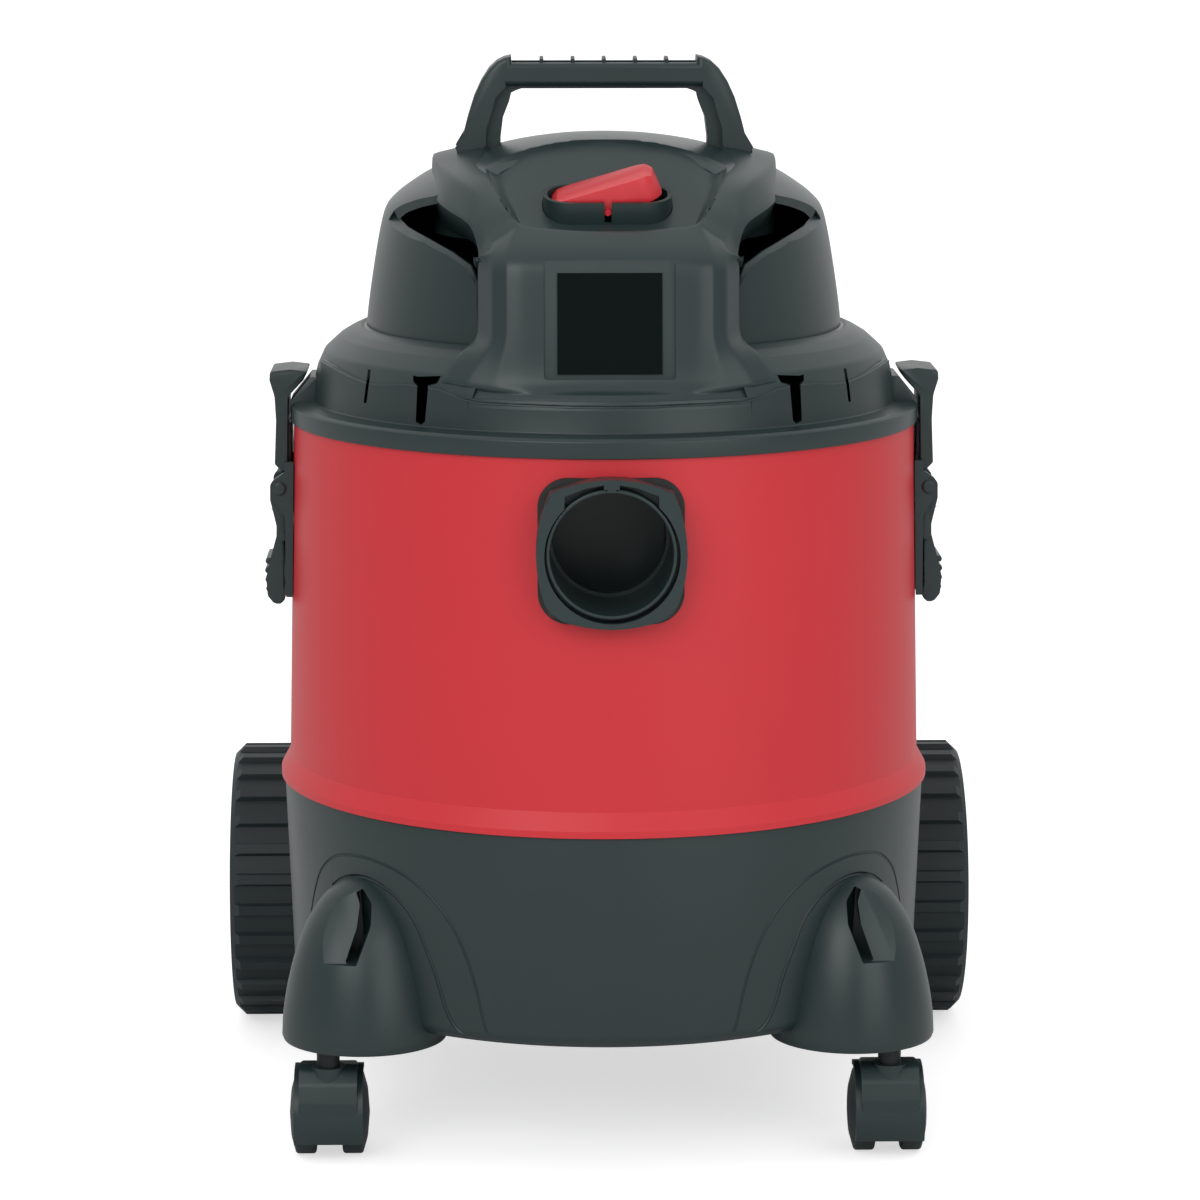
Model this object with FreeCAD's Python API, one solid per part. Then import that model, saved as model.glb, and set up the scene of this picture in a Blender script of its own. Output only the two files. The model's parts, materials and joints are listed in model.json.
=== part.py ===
import FreeCAD, Part
import math
import os

# Drum shop vacuum, millimetres. +Z up, front faces -Y. Everything is laid out around the axis of
# the drum, floor at z = 0, and moved along Y at the end so that the origin is under the middle.

# ---- driving dimensions ---------------------------------------------------------------------
FIT = 0.05                  # radial clearance of a shaft, pin or screw in its hole
GAP = 0.4                   # clearance between faces that move past each other
SKIN = 0.2                  # clearance between a cover and the shell that it lies on

# tank
TANK_TOP_Z = 343.6
TANK_TOP_R = 152.9
TANK_FOOT_Z = 178.0         # height at which the side meets the flared lip
TANK_FOOT_R = 156.5
TANK_WALL = 2.6
TANK_FLOOR_Z = 72.0
TANK_WELL_R = 146.0         # outside radius low down, inside the base
LIP_R = 161.0               # flared lip that sits on the rim of the base
LIP_HEIGHT = 3.2

# screws between the base and the tank
BOSS_RING_R = 110.0         # four bosses on this circle
BOSS_R = 6.0
SCREW_R = 2.0
SCREW_HEAD = 2.2

# base
BASE_RIM_Z = 166.5
BASE_RIM_R = 159.3
BASE_FOOT_Z = 63.5
BASE_FOOT_R = 155.4
BASE_WALL = 3.0

# caster pods on the base
POD_X = 117.0
POD_Y = -100.0
POD_R = 39.0
POD_BOTTOM_Z = 56.0
POD_APEX_Z = 138.0
POD_WALL = 3.0

# casters
CASTER_WHEEL_R = 20.0
CASTER_HALF_WIDTH = 19.3
CASTER_WEB = 12.0
CASTER_X = 134.5
CASTER_AXLE_Y = -107.0
CASTER_TRAIL = 12.0
HOOD_R = 23.7
HOOD_WALL = 2.5
HOOD_HALF_WIDTH = 16.5
HOOD_BOTTOM_Z = 9.7
BOSS_TOP_Z = 46.5
CASTER_AXLE_R = 3.0
STEM_R = 5.5
STEM_FOOT_Z = 38.0
STEM_TOP_Z = 104.0
SOCKET_WALL = 2.0

# rear wheels and axle
WHEEL_R = 73.0
WHEEL_Y = 153.0
WHEEL_OUT_X = 194.0
WHEEL_WIDTH = 44.0
TREAD_BARS = 28
TREAD_DEPTH = 2.6
AXLE_R = 5.0
HUB_R = 14.0
AXLE_BOX_HALF = 14.0        # half height of the arm round the axle
NUT_THICK = 1.6

# hose inlet
INLET_DROP = 42.6           # middle of the inlet below the tank's top edge
INLET_BORE_R = 28.5
INLET_TUBE_WALL = 3.0
INLET_FLANGE = 70.0         # width and height of the squared flange
INLET_FRONT_Y = -166.0
INLET_TUBE_INSIDE = 40.9    # inner end of the tube, in from the tank's top radius
INLET_FACE_WALL = 6.0       # thickness of the flange's face
INLET_SCREW_AT = 26.0       # each screw's distance from the middle, along X and along Z
INLET_SCREW_R = 1.5
INLET_SCREW_DEPTH = 4.0     # blind end of a screw hole below the flange's face
GASKET = 1.5
DEFLECTOR_WALL = 2.5
DEFLECTOR_REACH = 30.0

# lid
LID_R = 154.5
LID_BAND_TOP_Z = 352.4
LID_WALL = 3.0
LID_FLOOR_Z = 349.0         # underside of the plate that carries the motor
SPIGOT_DEPTH = 9.0
SPIGOT_WALL = 2.5
SPIGOT_GAP = 0.6
INTAKE_R = 22.0
LID_SCREW_R = 100.0         # four screws on this circle hold the dome's lid bosses
HEAD_SCREW_R = 1.6
DOME_SEAT_Z = 388.0

# dome
DOME_WALL = 2.5
DOME_TOP_Z = 484.0
DOME_CROWN_R = 95.4
DOME_SHOULDER_R = 107.1
DOME_SHOULDER_Z = 452.9
DOME_BASE_R = 116.8
VENT_PLAN = [(-58, -96), (-70, -58), (-86, -26), (-108, -16), (-112, -60), (-80, -92)]
VENT_Z = (438.0, 463.0)

# console and handle
CONSOLE_HALF = 54.0
CONSOLE_WALL = 3.0
HANDLE_TOP_Z = 520.0
HANDLE_BAR = 13.5
HANDLE_DEPTH = 26.0
HANDLE_TOP_HALF = 52.6
HANDLE_FOOT_HALF = 70.0
HANDLE_LEG = 17.0
SHOULDER_Z = 471.0
BADGE_W = 48.7
BADGE_H = 47.0
WING_PLAN = [(40, -112), (54, -116), (56, -95), (60, -80), (66, -60), (80, -30, 12), (84, -10, 8),
             (84, 12, 8), (74, 34, 12), (58, 44), (40, 44)]

# switch
SWITCH_Y = -78.3            # middle of the bezel's rim
SWITCH_Z = 459.5
SWITCH_SLOPE = 14.0
BEZEL_HALF = 30.4
BEZEL_HALF_H = 14.4
BEZEL_WALL = 2.2
BEZEL_DEPTH = 16.0
BEZEL_ROUND = 12.8
ROCKER_PIN_R = 1.6
ROCKER_TILT = 17.0
ROCKER_HEIGHT = 10.2        # top of the paddle above its pivot
ROCKER_PIVOT_DEPTH = 4.0    # pivot below the bezel's rim
BOWL_SLOPE = 32.4
BOWL_Y = -89.9              # a point of the bowl's surface, at the bezel's front wall
BOWL_Z = 446.3

# latches
LATCH_PIVOT_U = 159.5       # distance of the lever's pivot from the drum axis
LATCH_PIVOT_Z = 311.0
HOOK_PIVOT_U = 158.2
HOOK_PIVOT_Z = 297.0
HOOK_PIN_R = 1.6
LEVER_PIN_R = 2.0
LATCH_HALF = 17.0           # half width of the lever
STRAP_HALF = 13.0
KEEPER_SLOPE = 50.0
BRACKET_Z = (257.0, 324.0)
BRACKET_U = 157.0           # face of the bracket's rails, from the drum's axis

# motor, fan and filter
MOTOR_R = 42.0
SHAFT_R = 5.0
FAN_R = 54.0
FAN_HOUSING_R = 60.0
CAGE_R = 60.0
CAGE_BOTTOM_Z = 222.0
CAGE_WALL = 2.5
FOAM_WALL = 8.0
FLOAT_R = 24.0
FLOAT_TRAVEL = 20.0
FLOAT_HEIGHT = 30.0
MOUNT_HEIGHT = 6.0          # rubber rings under the fan housing and over the upper frame
FAN_HOUSING_HEIGHT = 26.0
BEARING_R = 11.0
BEARING_HEIGHT = 7.0
STACK_ABOVE_FAN = 18.0      # underside of the field stack above the fan housing
STACK_HEIGHT = 30.0
TOP_FRAME_RISE = 20.0       # upper frame's plate above the field stack
SHAFT_RISE = 32.0
FRAME_LEG_ANGLES = (45, 135, 225, 315)

# cord gland
CORD_R = 3.5
GLAND_R = 6.5
GLAND_Y = (108.0, 136.0)
GLAND_Z = 408.0

# ---- places that follow from them -----------------------------------------------------------
REAR_REACH = WHEEL_Y + WHEEL_R
AXIS_Y = -(REAR_REACH + INLET_FRONT_Y) / 2      # drum axis in the part's own frame
AXLE_Z = WHEEL_R
WHEEL_IN_X = WHEEL_OUT_X - WHEEL_WIDTH
HUB_IN_X = WHEEL_IN_X - 4.0
STEM_Y = CASTER_AXLE_Y - CASTER_TRAIL
FLOAT_BOTTOM_Z = LID_FLOOR_Z - LID_WALL - FLOAT_TRAVEL - FLOAT_HEIGHT
SOCKET_R = STEM_R + SOCKET_WALL
NUT_X = WHEEL_OUT_X - 8.0
SPIGOT_R = TANK_TOP_R - TANK_WALL - SPIGOT_GAP
CAGE_SCREW_R = CAGE_R - 8.0
PLATE_Z = LID_FLOOR_Z + LID_WALL
FAN_BOTTOM_Z = PLATE_Z + MOUNT_HEIGHT
FAN_TOP_Z = FAN_BOTTOM_Z + FAN_HOUSING_HEIGHT
STACK_Z = (FAN_TOP_Z + STACK_ABOVE_FAN, FAN_TOP_Z + STACK_ABOVE_FAN + STACK_HEIGHT)
TOP_FRAME_Z = STACK_Z[1] + TOP_FRAME_RISE
SHAFT_Z = (FAN_BOTTOM_Z + 4.0, STACK_Z[1] + SHAFT_RISE)
INLET_Z = TANK_TOP_Z - INLET_DROP
INLET_INNER_Y = INLET_TUBE_INSIDE - TANK_TOP_R
TAPER = (TANK_FOOT_R - TANK_TOP_R) / (TANK_TOP_Z - TANK_FOOT_Z)

X = FreeCAD.Vector(1, 0, 0)
Y = FreeCAD.Vector(0, 1, 0)
Z = FreeCAD.Vector(0, 0, 1)


def vec(x, y, z):
    return FreeCAD.Vector(x, y, z)


def tank_r(z):
    """Outside radius of the tank's side at height z."""
    return TANK_TOP_R + (TANK_TOP_Z - z) * TAPER


# ---- outlines and solids --------------------------------------------------------------------
def on_xz(a, b):
    return vec(a, 0, b)


def on_yz(a, b):
    return vec(0, a, b)


def on_xy(a, b):
    return vec(a, b, 0)


def unit(ax, ay, bx, by):
    length = math.hypot(bx - ax, by - ay)
    return (bx - ax) / length, (by - ay) / length


def outline(corners, place):
    """Flat face inside (a, b) or (a, b, radius) corners; a radius rounds its corner."""
    starts = []
    count = len(corners)
    for i, corner in enumerate(corners):
        a, b = corner[0], corner[1]
        radius = corner[2] if len(corner) > 2 else 0
        if radius <= 0:
            starts.append((vec(a, b, 0), None, vec(a, b, 0)))
            continue
        before = corners[i - 1]
        after = corners[(i + 1) % count]
        back = unit(a, b, before[0], before[1])
        ahead = unit(a, b, after[0], after[1])
        cosine = max(-1.0, min(1.0, back[0] * ahead[0] + back[1] * ahead[1]))
        half = math.acos(cosine) / 2
        reach = radius / math.tan(half)
        middle = unit(0, 0, back[0] + ahead[0], back[1] + ahead[1])
        deep = radius / math.sin(half) - radius
        starts.append((vec(a + back[0] * reach, b + back[1] * reach, 0),
                       vec(a + middle[0] * deep, b + middle[1] * deep, 0),
                       vec(a + ahead[0] * reach, b + ahead[1] * reach, 0)))
    edges = []
    for i, (first, bulge, last) in enumerate(starts):
        if bulge is not None:
            edges.append(Part.Arc(place(first.x, first.y), place(bulge.x, bulge.y),
                                  place(last.x, last.y)).toShape())
        after = starts[(i + 1) % count][0]
        if (after - last).Length > 1e-6:
            edges.append(Part.LineSegment(place(last.x, last.y), place(after.x, after.y)).toShape())
    return Part.Face(Part.Wire(edges))


def moved(path, distance):
    """The open path moved to its right by distance (to its left if negative)."""
    result = []
    last = len(path) - 1
    for i, corner in enumerate(path):
        into = unit(*path[i - 1][:2], *corner[:2]) if i > 0 else None
        out = unit(*corner[:2], *path[i + 1][:2]) if i < last else None
        into = into or out
        out = out or into
        na, nb = into[1] + out[1], -into[0] - out[0]
        scale = 2 * distance / (na * na + nb * nb)
        turn = into[0] * out[1] - into[1] * out[0]
        radius = corner[2] if len(corner) > 2 else 0
        if radius > 0:
            radius = max(radius + (distance if turn > 0 else -distance), 0)
        result.append((corner[0] + na * scale, corner[1] + nb * scale, radius))
    return result


def band(path, wall):
    """Corners of a strip between the open path and its copy moved by wall."""
    return list(path) + moved(path, wall)[::-1]


def turned(corners):
    """Solid of revolution about Z from corners in radius and height."""
    return outline(corners, on_xz).revolve(vec(0, 0, 0), Z, 360)


def prism(corners, place, start, end):
    """Outline extruded along the axis that its plane leaves out, from start to end."""
    axis = {on_xz: Y, on_yz: X, on_xy: Z}[place]
    face = outline(corners, place)
    face.translate(axis * start)
    return face.extrude(axis * (end - start))


def box(x0, x1, y0, y1, z0, z1):
    return Part.makeBox(x1 - x0, y1 - y0, z1 - z0, vec(x0, y0, z0))


def rod(radius, start, end):
    return Part.makeCylinder(radius, (end - start).Length, start, end - start)


def tube(radius, bore, start, end):
    return rod(radius, start, end).cut(rod(bore, start, end))


def ring(radius, bore, z0, z1):
    return tube(radius, bore, vec(0, 0, z0), vec(0, 0, z1))


def fuse(shapes):
    whole = shapes[0].multiFuse(shapes[1:]) if len(shapes) > 1 else shapes[0]
    return whole.removeSplitter()


def spun(shape, degrees, centre=None, axis=Z):
    copy = shape.copy()
    copy.rotate(centre or vec(0, 0, 0), axis, degrees)
    return copy


def around(shape, count, first=0.0):
    return [spun(shape, first + i * 360.0 / count) for i in range(count)]


def on_side(shape, side):
    """The shape as drawn for +X, or its mirror image for -X."""
    return shape if side > 0 else shape.mirror(vec(0, 0, 0), X)


def both_sides(shapes):
    return [on_side(shape, side) for side in (1, -1) for shape in shapes]


def save(name, shapes):
    """Writes one node, moved from the drum's axis to the part's own origin."""
    shapes = shapes if isinstance(shapes, list) else [shapes]
    solids = [solid for shape in shapes for solid in shape.Solids]
    whole = solids[0] if len(solids) == 1 else Part.makeCompound(solids)
    whole = whole.copy()
    whole.translate(vec(0, AXIS_Y, 0))
    whole.exportStep("parts/" + name + ".step")
    print(name, len(solids), "solids", "valid" if whole.isValid() else "NOT VALID")


# ---- tank -----------------------------------------------------------------------------------
def tank():
    """Open tub: floor, side inside the base, flared lip on the base's rim, tapering side."""
    path = [(0, TANK_FLOOR_Z),
            (TANK_WELL_R, TANK_FLOOR_Z, 12.0),
            (TANK_WELL_R + 4.0, BASE_RIM_Z),
            (LIP_R, BASE_RIM_Z),
            (LIP_R, BASE_RIM_Z + LIP_HEIGHT),
            (TANK_FOOT_R, TANK_FOOT_Z),
            (TANK_TOP_R, TANK_TOP_Z)]
    shell = turned(band(path, -TANK_WALL))
    boss = rod(BOSS_R, vec(BOSS_RING_R, 0, BASE_FOOT_Z + BASE_WALL),
               vec(BOSS_RING_R, 0, TANK_FLOOR_Z + 0.5))
    shell = fuse([shell] + around(boss, 4, 45))
    pilot = rod(SCREW_R + FIT, vec(BOSS_RING_R, 0, BASE_FOOT_Z),
                vec(BOSS_RING_R, 0, TANK_FLOOR_Z))
    mouth = rod(INLET_BORE_R + INLET_TUBE_WALL + FIT, vec(0, -LIP_R, INLET_Z),
                vec(0, INLET_INNER_Y, INLET_Z))
    return shell.cut(around(pilot, 4, 45) + [mouth] + inlet_screw_holes())


# ---- base -----------------------------------------------------------------------------------
def pod(grow):
    """Bullet shape round a caster, standing on the pod's bottom plane."""
    top = POD_APEX_Z + grow
    wide = POD_R + grow
    height = top - POD_BOTTOM_Z
    arc = Part.Arc(vec(wide, 0, POD_BOTTOM_Z), vec(wide * 0.74, 0, POD_BOTTOM_Z + height * 0.68),
                   vec(0, 0, top)).toShape()
    up = Part.LineSegment(vec(0, 0, POD_BOTTOM_Z), vec(wide, 0, POD_BOTTOM_Z)).toShape()
    down = Part.LineSegment(vec(0, 0, top), vec(0, 0, POD_BOTTOM_Z)).toShape()
    shape = Part.Face(Part.Wire([up, arc, down])).revolve(vec(0, 0, 0), Z, 360)
    shape.translate(vec(POD_X, POD_Y, 0))
    return shape


def caster_lug():
    """Hollow pod with the boss that holds the caster's socket, drawn for +X."""
    inside = pod(-1)
    hollow = pod(-POD_WALL).common(box(0, 200, -200, 0, 0, POD_APEX_Z - 18))
    low = vec(CASTER_X, STEM_Y, POD_BOTTOM_Z)
    high = vec(CASTER_X, STEM_Y, STEM_TOP_Z + 3)
    boss = rod(SOCKET_R + 3.0, low, high + Z * 3)
    rib = box(-1.5, 1.5, -30, 0, POD_BOTTOM_Z + 2, STEM_TOP_Z)
    rib.rotate(vec(0, 0, 0), Z, math.degrees(math.atan2(-STEM_Y, CASTER_X)) - 90)
    rib.translate(vec(CASTER_X, STEM_Y, 0))
    lug = fuse([pod(0).cut(hollow), boss.common(inside), rib.common(inside)])
    return lug.cut(rod(SOCKET_R + FIT, low - Z, high))


def axle_arm():
    """Side arm from the base's shell to the axle, drawn for +X."""
    low = AXLE_Z - AXLE_BOX_HALF
    high = AXLE_Z + AXLE_BOX_HALF
    back = WHEEL_Y + AXLE_BOX_HALF
    return prism([(60, BASE_FOOT_Z), (WHEEL_Y - 6, low, 4), (back, low, 8), (back, high, 8), (60, 128)],
                 on_yz, HUB_IN_X - 18, HUB_IN_X - GAP)


def axle_beam():
    """Beam across the back that carries the axle between the two arms."""
    half = AXLE_BOX_HALF - 2.5
    back = WHEEL_Y + half
    return prism([(120, AXLE_Z - half), (back, AXLE_Z - half, 5), (back, AXLE_Z + half, 5),
                  (120, AXLE_Z + half)], on_yz, -HUB_IN_X + 10, HUB_IN_X - 10)


def base():
    """Skirt and floor, two caster pods in front and the axle beam with its arms behind."""
    skirt = [(0, BASE_FOOT_Z), (BASE_FOOT_R, BASE_FOOT_Z, 4.0), (BASE_RIM_R, BASE_RIM_Z)]
    above = box(-200, 200, -200, 200, BASE_RIM_Z, BASE_RIM_Z + 20)
    shell = turned(band(skirt, -BASE_WALL)).cut(above)
    core = turned([(0, BASE_FOOT_Z + BASE_WALL),
                   (BASE_FOOT_R - BASE_WALL, BASE_FOOT_Z + BASE_WALL),
                   (BASE_RIM_R - BASE_WALL, BASE_RIM_Z), (0, BASE_RIM_Z)])
    extras = both_sides([caster_lug(), axle_arm()]) + [axle_beam()]
    below = ring(BASE_FOOT_R - 12, 1, 0, BASE_FOOT_Z)
    outside = [shape.cut([core, below]) for shape in extras]
    ribs = [ring(r + 1.5, r - 1.5, BASE_FOOT_Z + BASE_WALL - 0.5, TANK_FLOOR_Z) for r in (80.0, 130.0)]
    whole = fuse([fuse([shell] + outside), fuse(ribs)])
    axle_hole = rod(AXLE_R + FIT, vec(-200, WHEEL_Y, AXLE_Z), vec(200, WHEEL_Y, AXLE_Z))
    screw_hole = rod(SCREW_R + FIT, vec(BOSS_RING_R, 0, BASE_FOOT_Z - 1),
                     vec(BOSS_RING_R, 0, BASE_FOOT_Z + 10))
    return whole.cut([axle_hole] + around(screw_hole, 4, 45))


def base_screws():
    """Pan head screws through the base's floor into the tank's blind bosses."""
    shank = rod(SCREW_R, vec(BOSS_RING_R, 0, BASE_FOOT_Z), vec(BOSS_RING_R, 0, TANK_FLOOR_Z - 1))
    head = rod(SCREW_R * 2, vec(BOSS_RING_R, 0, BASE_FOOT_Z - SCREW_HEAD),
               vec(BOSS_RING_R, 0, BASE_FOOT_Z))
    return around(fuse([shank, head]), 4, 45)


# ---- rear wheels ----------------------------------------------------------------------------
def rear_axle():
    return rod(AXLE_R, vec(-NUT_X - 3, WHEEL_Y, AXLE_Z), vec(NUT_X + 3, WHEEL_Y, AXLE_Z))


def axle_push_nuts():
    start = vec(NUT_X + GAP, WHEEL_Y, AXLE_Z)
    return both_sides([tube(AXLE_R * 2, AXLE_R + FIT, start, start + X * NUT_THICK)])


def rear_wheel():
    """Rim with transverse tread bars, web and hub, drawn for +X."""
    half = 180.0 / TREAD_BARS
    corners = []
    for i in range(TREAD_BARS):
        for radius, part in ((WHEEL_R, -0.30), (WHEEL_R, 0.30), (WHEEL_R - TREAD_DEPTH, 0.42),
                             (WHEEL_R - TREAD_DEPTH, 1.58)):
            angle = math.radians((2 * i + part) * half)
            corners.append((radius * math.cos(angle), radius * math.sin(angle)))
    rim = prism(corners, on_xy, 0, WHEEL_WIDTH)
    chamfer = turned([(0, 0), (WHEEL_R - 5, 0), (WHEEL_R + 0.5, 5.5),
                      (WHEEL_R + 0.5, WHEEL_WIDTH - 5.5), (WHEEL_R - 5, WHEEL_WIDTH),
                      (0, WHEEL_WIDTH)])
    rim = rim.common(chamfer)
    inner = turned([(HUB_R, -5), (WHEEL_R - 9, -5), (WHEEL_R - 9, 26), (HUB_R, 26)])
    outer = turned([(0, 29), (48, 29), (WHEEL_R - 9, 36), (WHEEL_R - 9, 50), (0, 50)])
    hub_in = rod(HUB_R, vec(0, 0, HUB_IN_X - WHEEL_IN_X), vec(0, 0, 1))
    hub_out = rod(HUB_R, vec(0, 0, 28), vec(0, 0, NUT_X - WHEEL_IN_X))
    bore = rod(AXLE_R + FIT, vec(0, 0, -20), vec(0, 0, 60))
    wheel = fuse([rim.cut([inner, outer]), hub_in, hub_out]).cut(bore)
    wheel.rotate(vec(0, 0, 0), Y, 90)
    wheel.translate(vec(WHEEL_IN_X, WHEEL_Y, AXLE_Z))
    return wheel


def hub_cap():
    """Domed cap that covers the push nut and clips round the hub's end."""
    inner = NUT_X - 4.0
    face = WHEEL_OUT_X - 1.5
    cap = turned([(HUB_R + FIT, inner), (HUB_R + 5, inner), (HUB_R + 5, face - 2, 1.5),
                  (0, face + 1.2), (0, face - 1.2), (HUB_R + FIT, face - 3.5)])
    cap.rotate(vec(0, 0, 0), Y, 90)
    cap.translate(vec(0, WHEEL_Y, AXLE_Z))
    return cap


# ---- casters --------------------------------------------------------------------------------
def caster_hood():
    """Web between the wheels, cover over their front and top, boss round the stem."""
    drum = rod(HOOD_R, vec(-HOOD_HALF_WIDTH, 0, 0), vec(HOOD_HALF_WIDTH, 0, 0))
    clear = rod(HOOD_R - HOOD_WALL, vec(-30, 0, 0), vec(30, 0, 0))
    low = box(-30, 30, -30, 30, -30, HOOD_BOTTOM_Z - CASTER_WHEEL_R)
    rear = box(-30, 30, 7, 30, -30, 30)
    cover = drum.cut([clear, low, rear])
    web = rod(HOOD_R - HOOD_WALL + 0.5, vec(-CASTER_WEB / 2, 0, 0), vec(CASTER_WEB / 2, 0, 0))
    web = web.cut(low)
    foot = vec(0, -CASTER_TRAIL, 0)
    boss = rod(STEM_R + 2.5, foot, foot + Z * (BOSS_TOP_Z - CASTER_WHEEL_R)).cut(clear)
    stem_hole = rod(STEM_R + FIT, foot + Z * (STEM_FOOT_Z - CASTER_WHEEL_R), foot + Z * 40)
    axle_hole = rod(CASTER_AXLE_R + FIT, vec(-30, 0, 0), vec(30, 0, 0))
    hood = fuse([cover, web, boss]).cut([stem_hole, axle_hole])
    hood.translate(vec(CASTER_X, CASTER_AXLE_Y, CASTER_WHEEL_R))
    return hood


def caster_stem():
    return rod(STEM_R, vec(CASTER_X, STEM_Y, STEM_FOOT_Z), vec(CASTER_X, STEM_Y, STEM_TOP_Z))


def caster_socket():
    """Sleeve pressed into the pod's boss, in which the stem turns."""
    sleeve = tube(SOCKET_R, STEM_R + FIT, vec(0, 0, POD_BOTTOM_Z), vec(0, 0, STEM_TOP_Z + 1))
    cap = rod(SOCKET_R, vec(0, 0, STEM_TOP_Z + 1), vec(0, 0, STEM_TOP_Z + 2.5))
    socket = fuse([sleeve, cap])
    socket.translate(vec(CASTER_X, STEM_Y, 0))
    return socket


def caster_axle():
    reach = CASTER_HALF_WIDTH - 3.0
    return rod(CASTER_AXLE_R, vec(CASTER_X - reach, CASTER_AXLE_Y, CASTER_WHEEL_R),
               vec(CASTER_X + reach, CASTER_AXLE_Y, CASTER_WHEEL_R))


def caster_wheel(side):
    """Twin wheel with a domed outer face; side is +1 for the wheel further along +X."""
    inner = CASTER_WEB / 2 + GAP
    wheel = turned([(0, inner), (CASTER_WHEEL_R, inner, 1.5), (CASTER_WHEEL_R, 16.0, 1.5),
                    (12, 18.3, 12), (0, CASTER_HALF_WIDTH)])
    wheel = wheel.cut(rod(CASTER_AXLE_R + FIT, vec(0, 0, 0),
                          vec(0, 0, CASTER_HALF_WIDTH - 3.0 + GAP)))
    wheel.rotate(vec(0, 0, 0), Y, 90 * side)
    wheel.translate(vec(CASTER_X, CASTER_AXLE_Y, CASTER_WHEEL_R))
    return wheel


# ---- hose inlet -----------------------------------------------------------------------------
def inlet_screw_places():
    """(x, z) of the four screws and the y at which each head seats inside the tank's side."""
    places = []
    for dx in (-INLET_SCREW_AT, INLET_SCREW_AT):
        for z in (INLET_Z - INLET_SCREW_AT, INLET_Z + INLET_SCREW_AT):
            inner_r = tank_r(z + 2 * INLET_SCREW_R) - TANK_WALL
            places.append((dx, z, 0.05 - math.sqrt(inner_r ** 2 - (abs(dx) + 2 * INLET_SCREW_R) ** 2)))
    return places


def inlet_screw_holes():
    """Holes from inside the tank that end blind in the flange."""
    end_y = INLET_FRONT_Y + INLET_SCREW_DEPTH
    return [rod(INLET_SCREW_R + FIT, vec(x, end_y, z), vec(x, seat_y + 4, z))
            for x, z, seat_y in inlet_screw_places()]


def squircle(size, place, start, end):
    half = size / 2
    corner = half * 0.42
    low = INLET_Z - half
    high = INLET_Z + half
    return prism([(-half, low, corner), (half, low, corner), (half, high, corner),
                  (-half, high, corner)], place, start, end)


def drum_solid(grow):
    """Cone that follows the tank's outside, grown by the given amount."""
    return turned([(0, TANK_FOOT_Z), (TANK_FOOT_R + grow, TANK_FOOT_Z),
                   (TANK_TOP_R + grow, TANK_TOP_Z + 40), (0, TANK_TOP_Z + 40)])


def hose_inlet():
    """Squared flange saddled on the tank, with the tube that holds the hose end."""
    tank_side = drum_solid(GASKET)
    face_y = INLET_FRONT_Y + INLET_FACE_WALL
    far = vec(0, 0, INLET_Z)
    flange = squircle(INLET_FLANGE, on_xz, INLET_FRONT_Y, -130).cut(tank_side)
    core = rod(INLET_BORE_R + 8, vec(0, -200, INLET_Z), far)
    relief = squircle(INLET_FLANGE - 7, on_xz, face_y, -100).cut(core)
    wall = rod(INLET_BORE_R + INLET_TUBE_WALL, vec(0, INLET_FRONT_Y, INLET_Z),
               vec(0, INLET_INNER_Y, INLET_Z))
    pads = [rod(INLET_SCREW_R * 3, vec(x, face_y - 1, z), vec(x, -140, z)).cut(tank_side)
            for x, z, _ in inlet_screw_places()]
    body = fuse([flange.cut(relief), wall] + pads)
    bore = rod(INLET_BORE_R, vec(0, -200, INLET_Z), far)
    return body.cut([bore] + inlet_screw_holes())


def inlet_gasket():
    """Rubber saddle between the flange and the tank."""
    pad = squircle(INLET_FLANGE - 2, on_xz, INLET_FRONT_Y + INLET_FACE_WALL, -120)
    pad = pad.common(drum_solid(GASKET)).cut(drum_solid(0))
    hole = rod(INLET_BORE_R + INLET_TUBE_WALL + FIT, vec(0, -200, INLET_Z), vec(0, 0, INLET_Z))
    return pad.cut([hole] + inlet_screw_holes())


def inlet_screws():
    """Screws driven from inside the tank, so that the flange's face stays plain."""
    screws = []
    for x, z, seat_y in inlet_screw_places():
        tip = vec(x, INLET_FRONT_Y + INLET_SCREW_DEPTH + 0.5, z)
        seat = vec(x, seat_y, z)
        screws.append(fuse([rod(INLET_SCREW_R, tip, seat), rod(INLET_SCREW_R * 2, seat, seat + Y * 2)]))
    return screws


def inlet_deflector():
    """Cap on the inner end of the tube that turns the air stream down."""
    outer = INLET_BORE_R + INLET_TUBE_WALL + DEFLECTOR_WALL
    start = vec(0, INLET_INNER_Y - 14, INLET_Z)
    end_y = INLET_INNER_Y + DEFLECTOR_REACH - DEFLECTOR_WALL
    can = rod(outer, start, vec(0, INLET_INNER_Y + DEFLECTOR_REACH, INLET_Z))
    seat = rod(outer - DEFLECTOR_WALL + FIT, start - Y, vec(0, INLET_INNER_Y, INLET_Z))
    inside = rod(INLET_BORE_R - 1.5, start, vec(0, end_y, INLET_Z))
    window = box(-60, 60, INLET_INNER_Y + 3, end_y, INLET_Z - 60, INLET_Z - 6)
    return can.cut([seat, inside, window])


# ---- latches --------------------------------------------------------------------------------
def pin_hole(radius, u, z):
    """Hole along Y for a latch pin at u from the drum's axis and height z."""
    return rod(radius + FIT, vec(u, -40, z), vec(u, 40, z))


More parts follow.
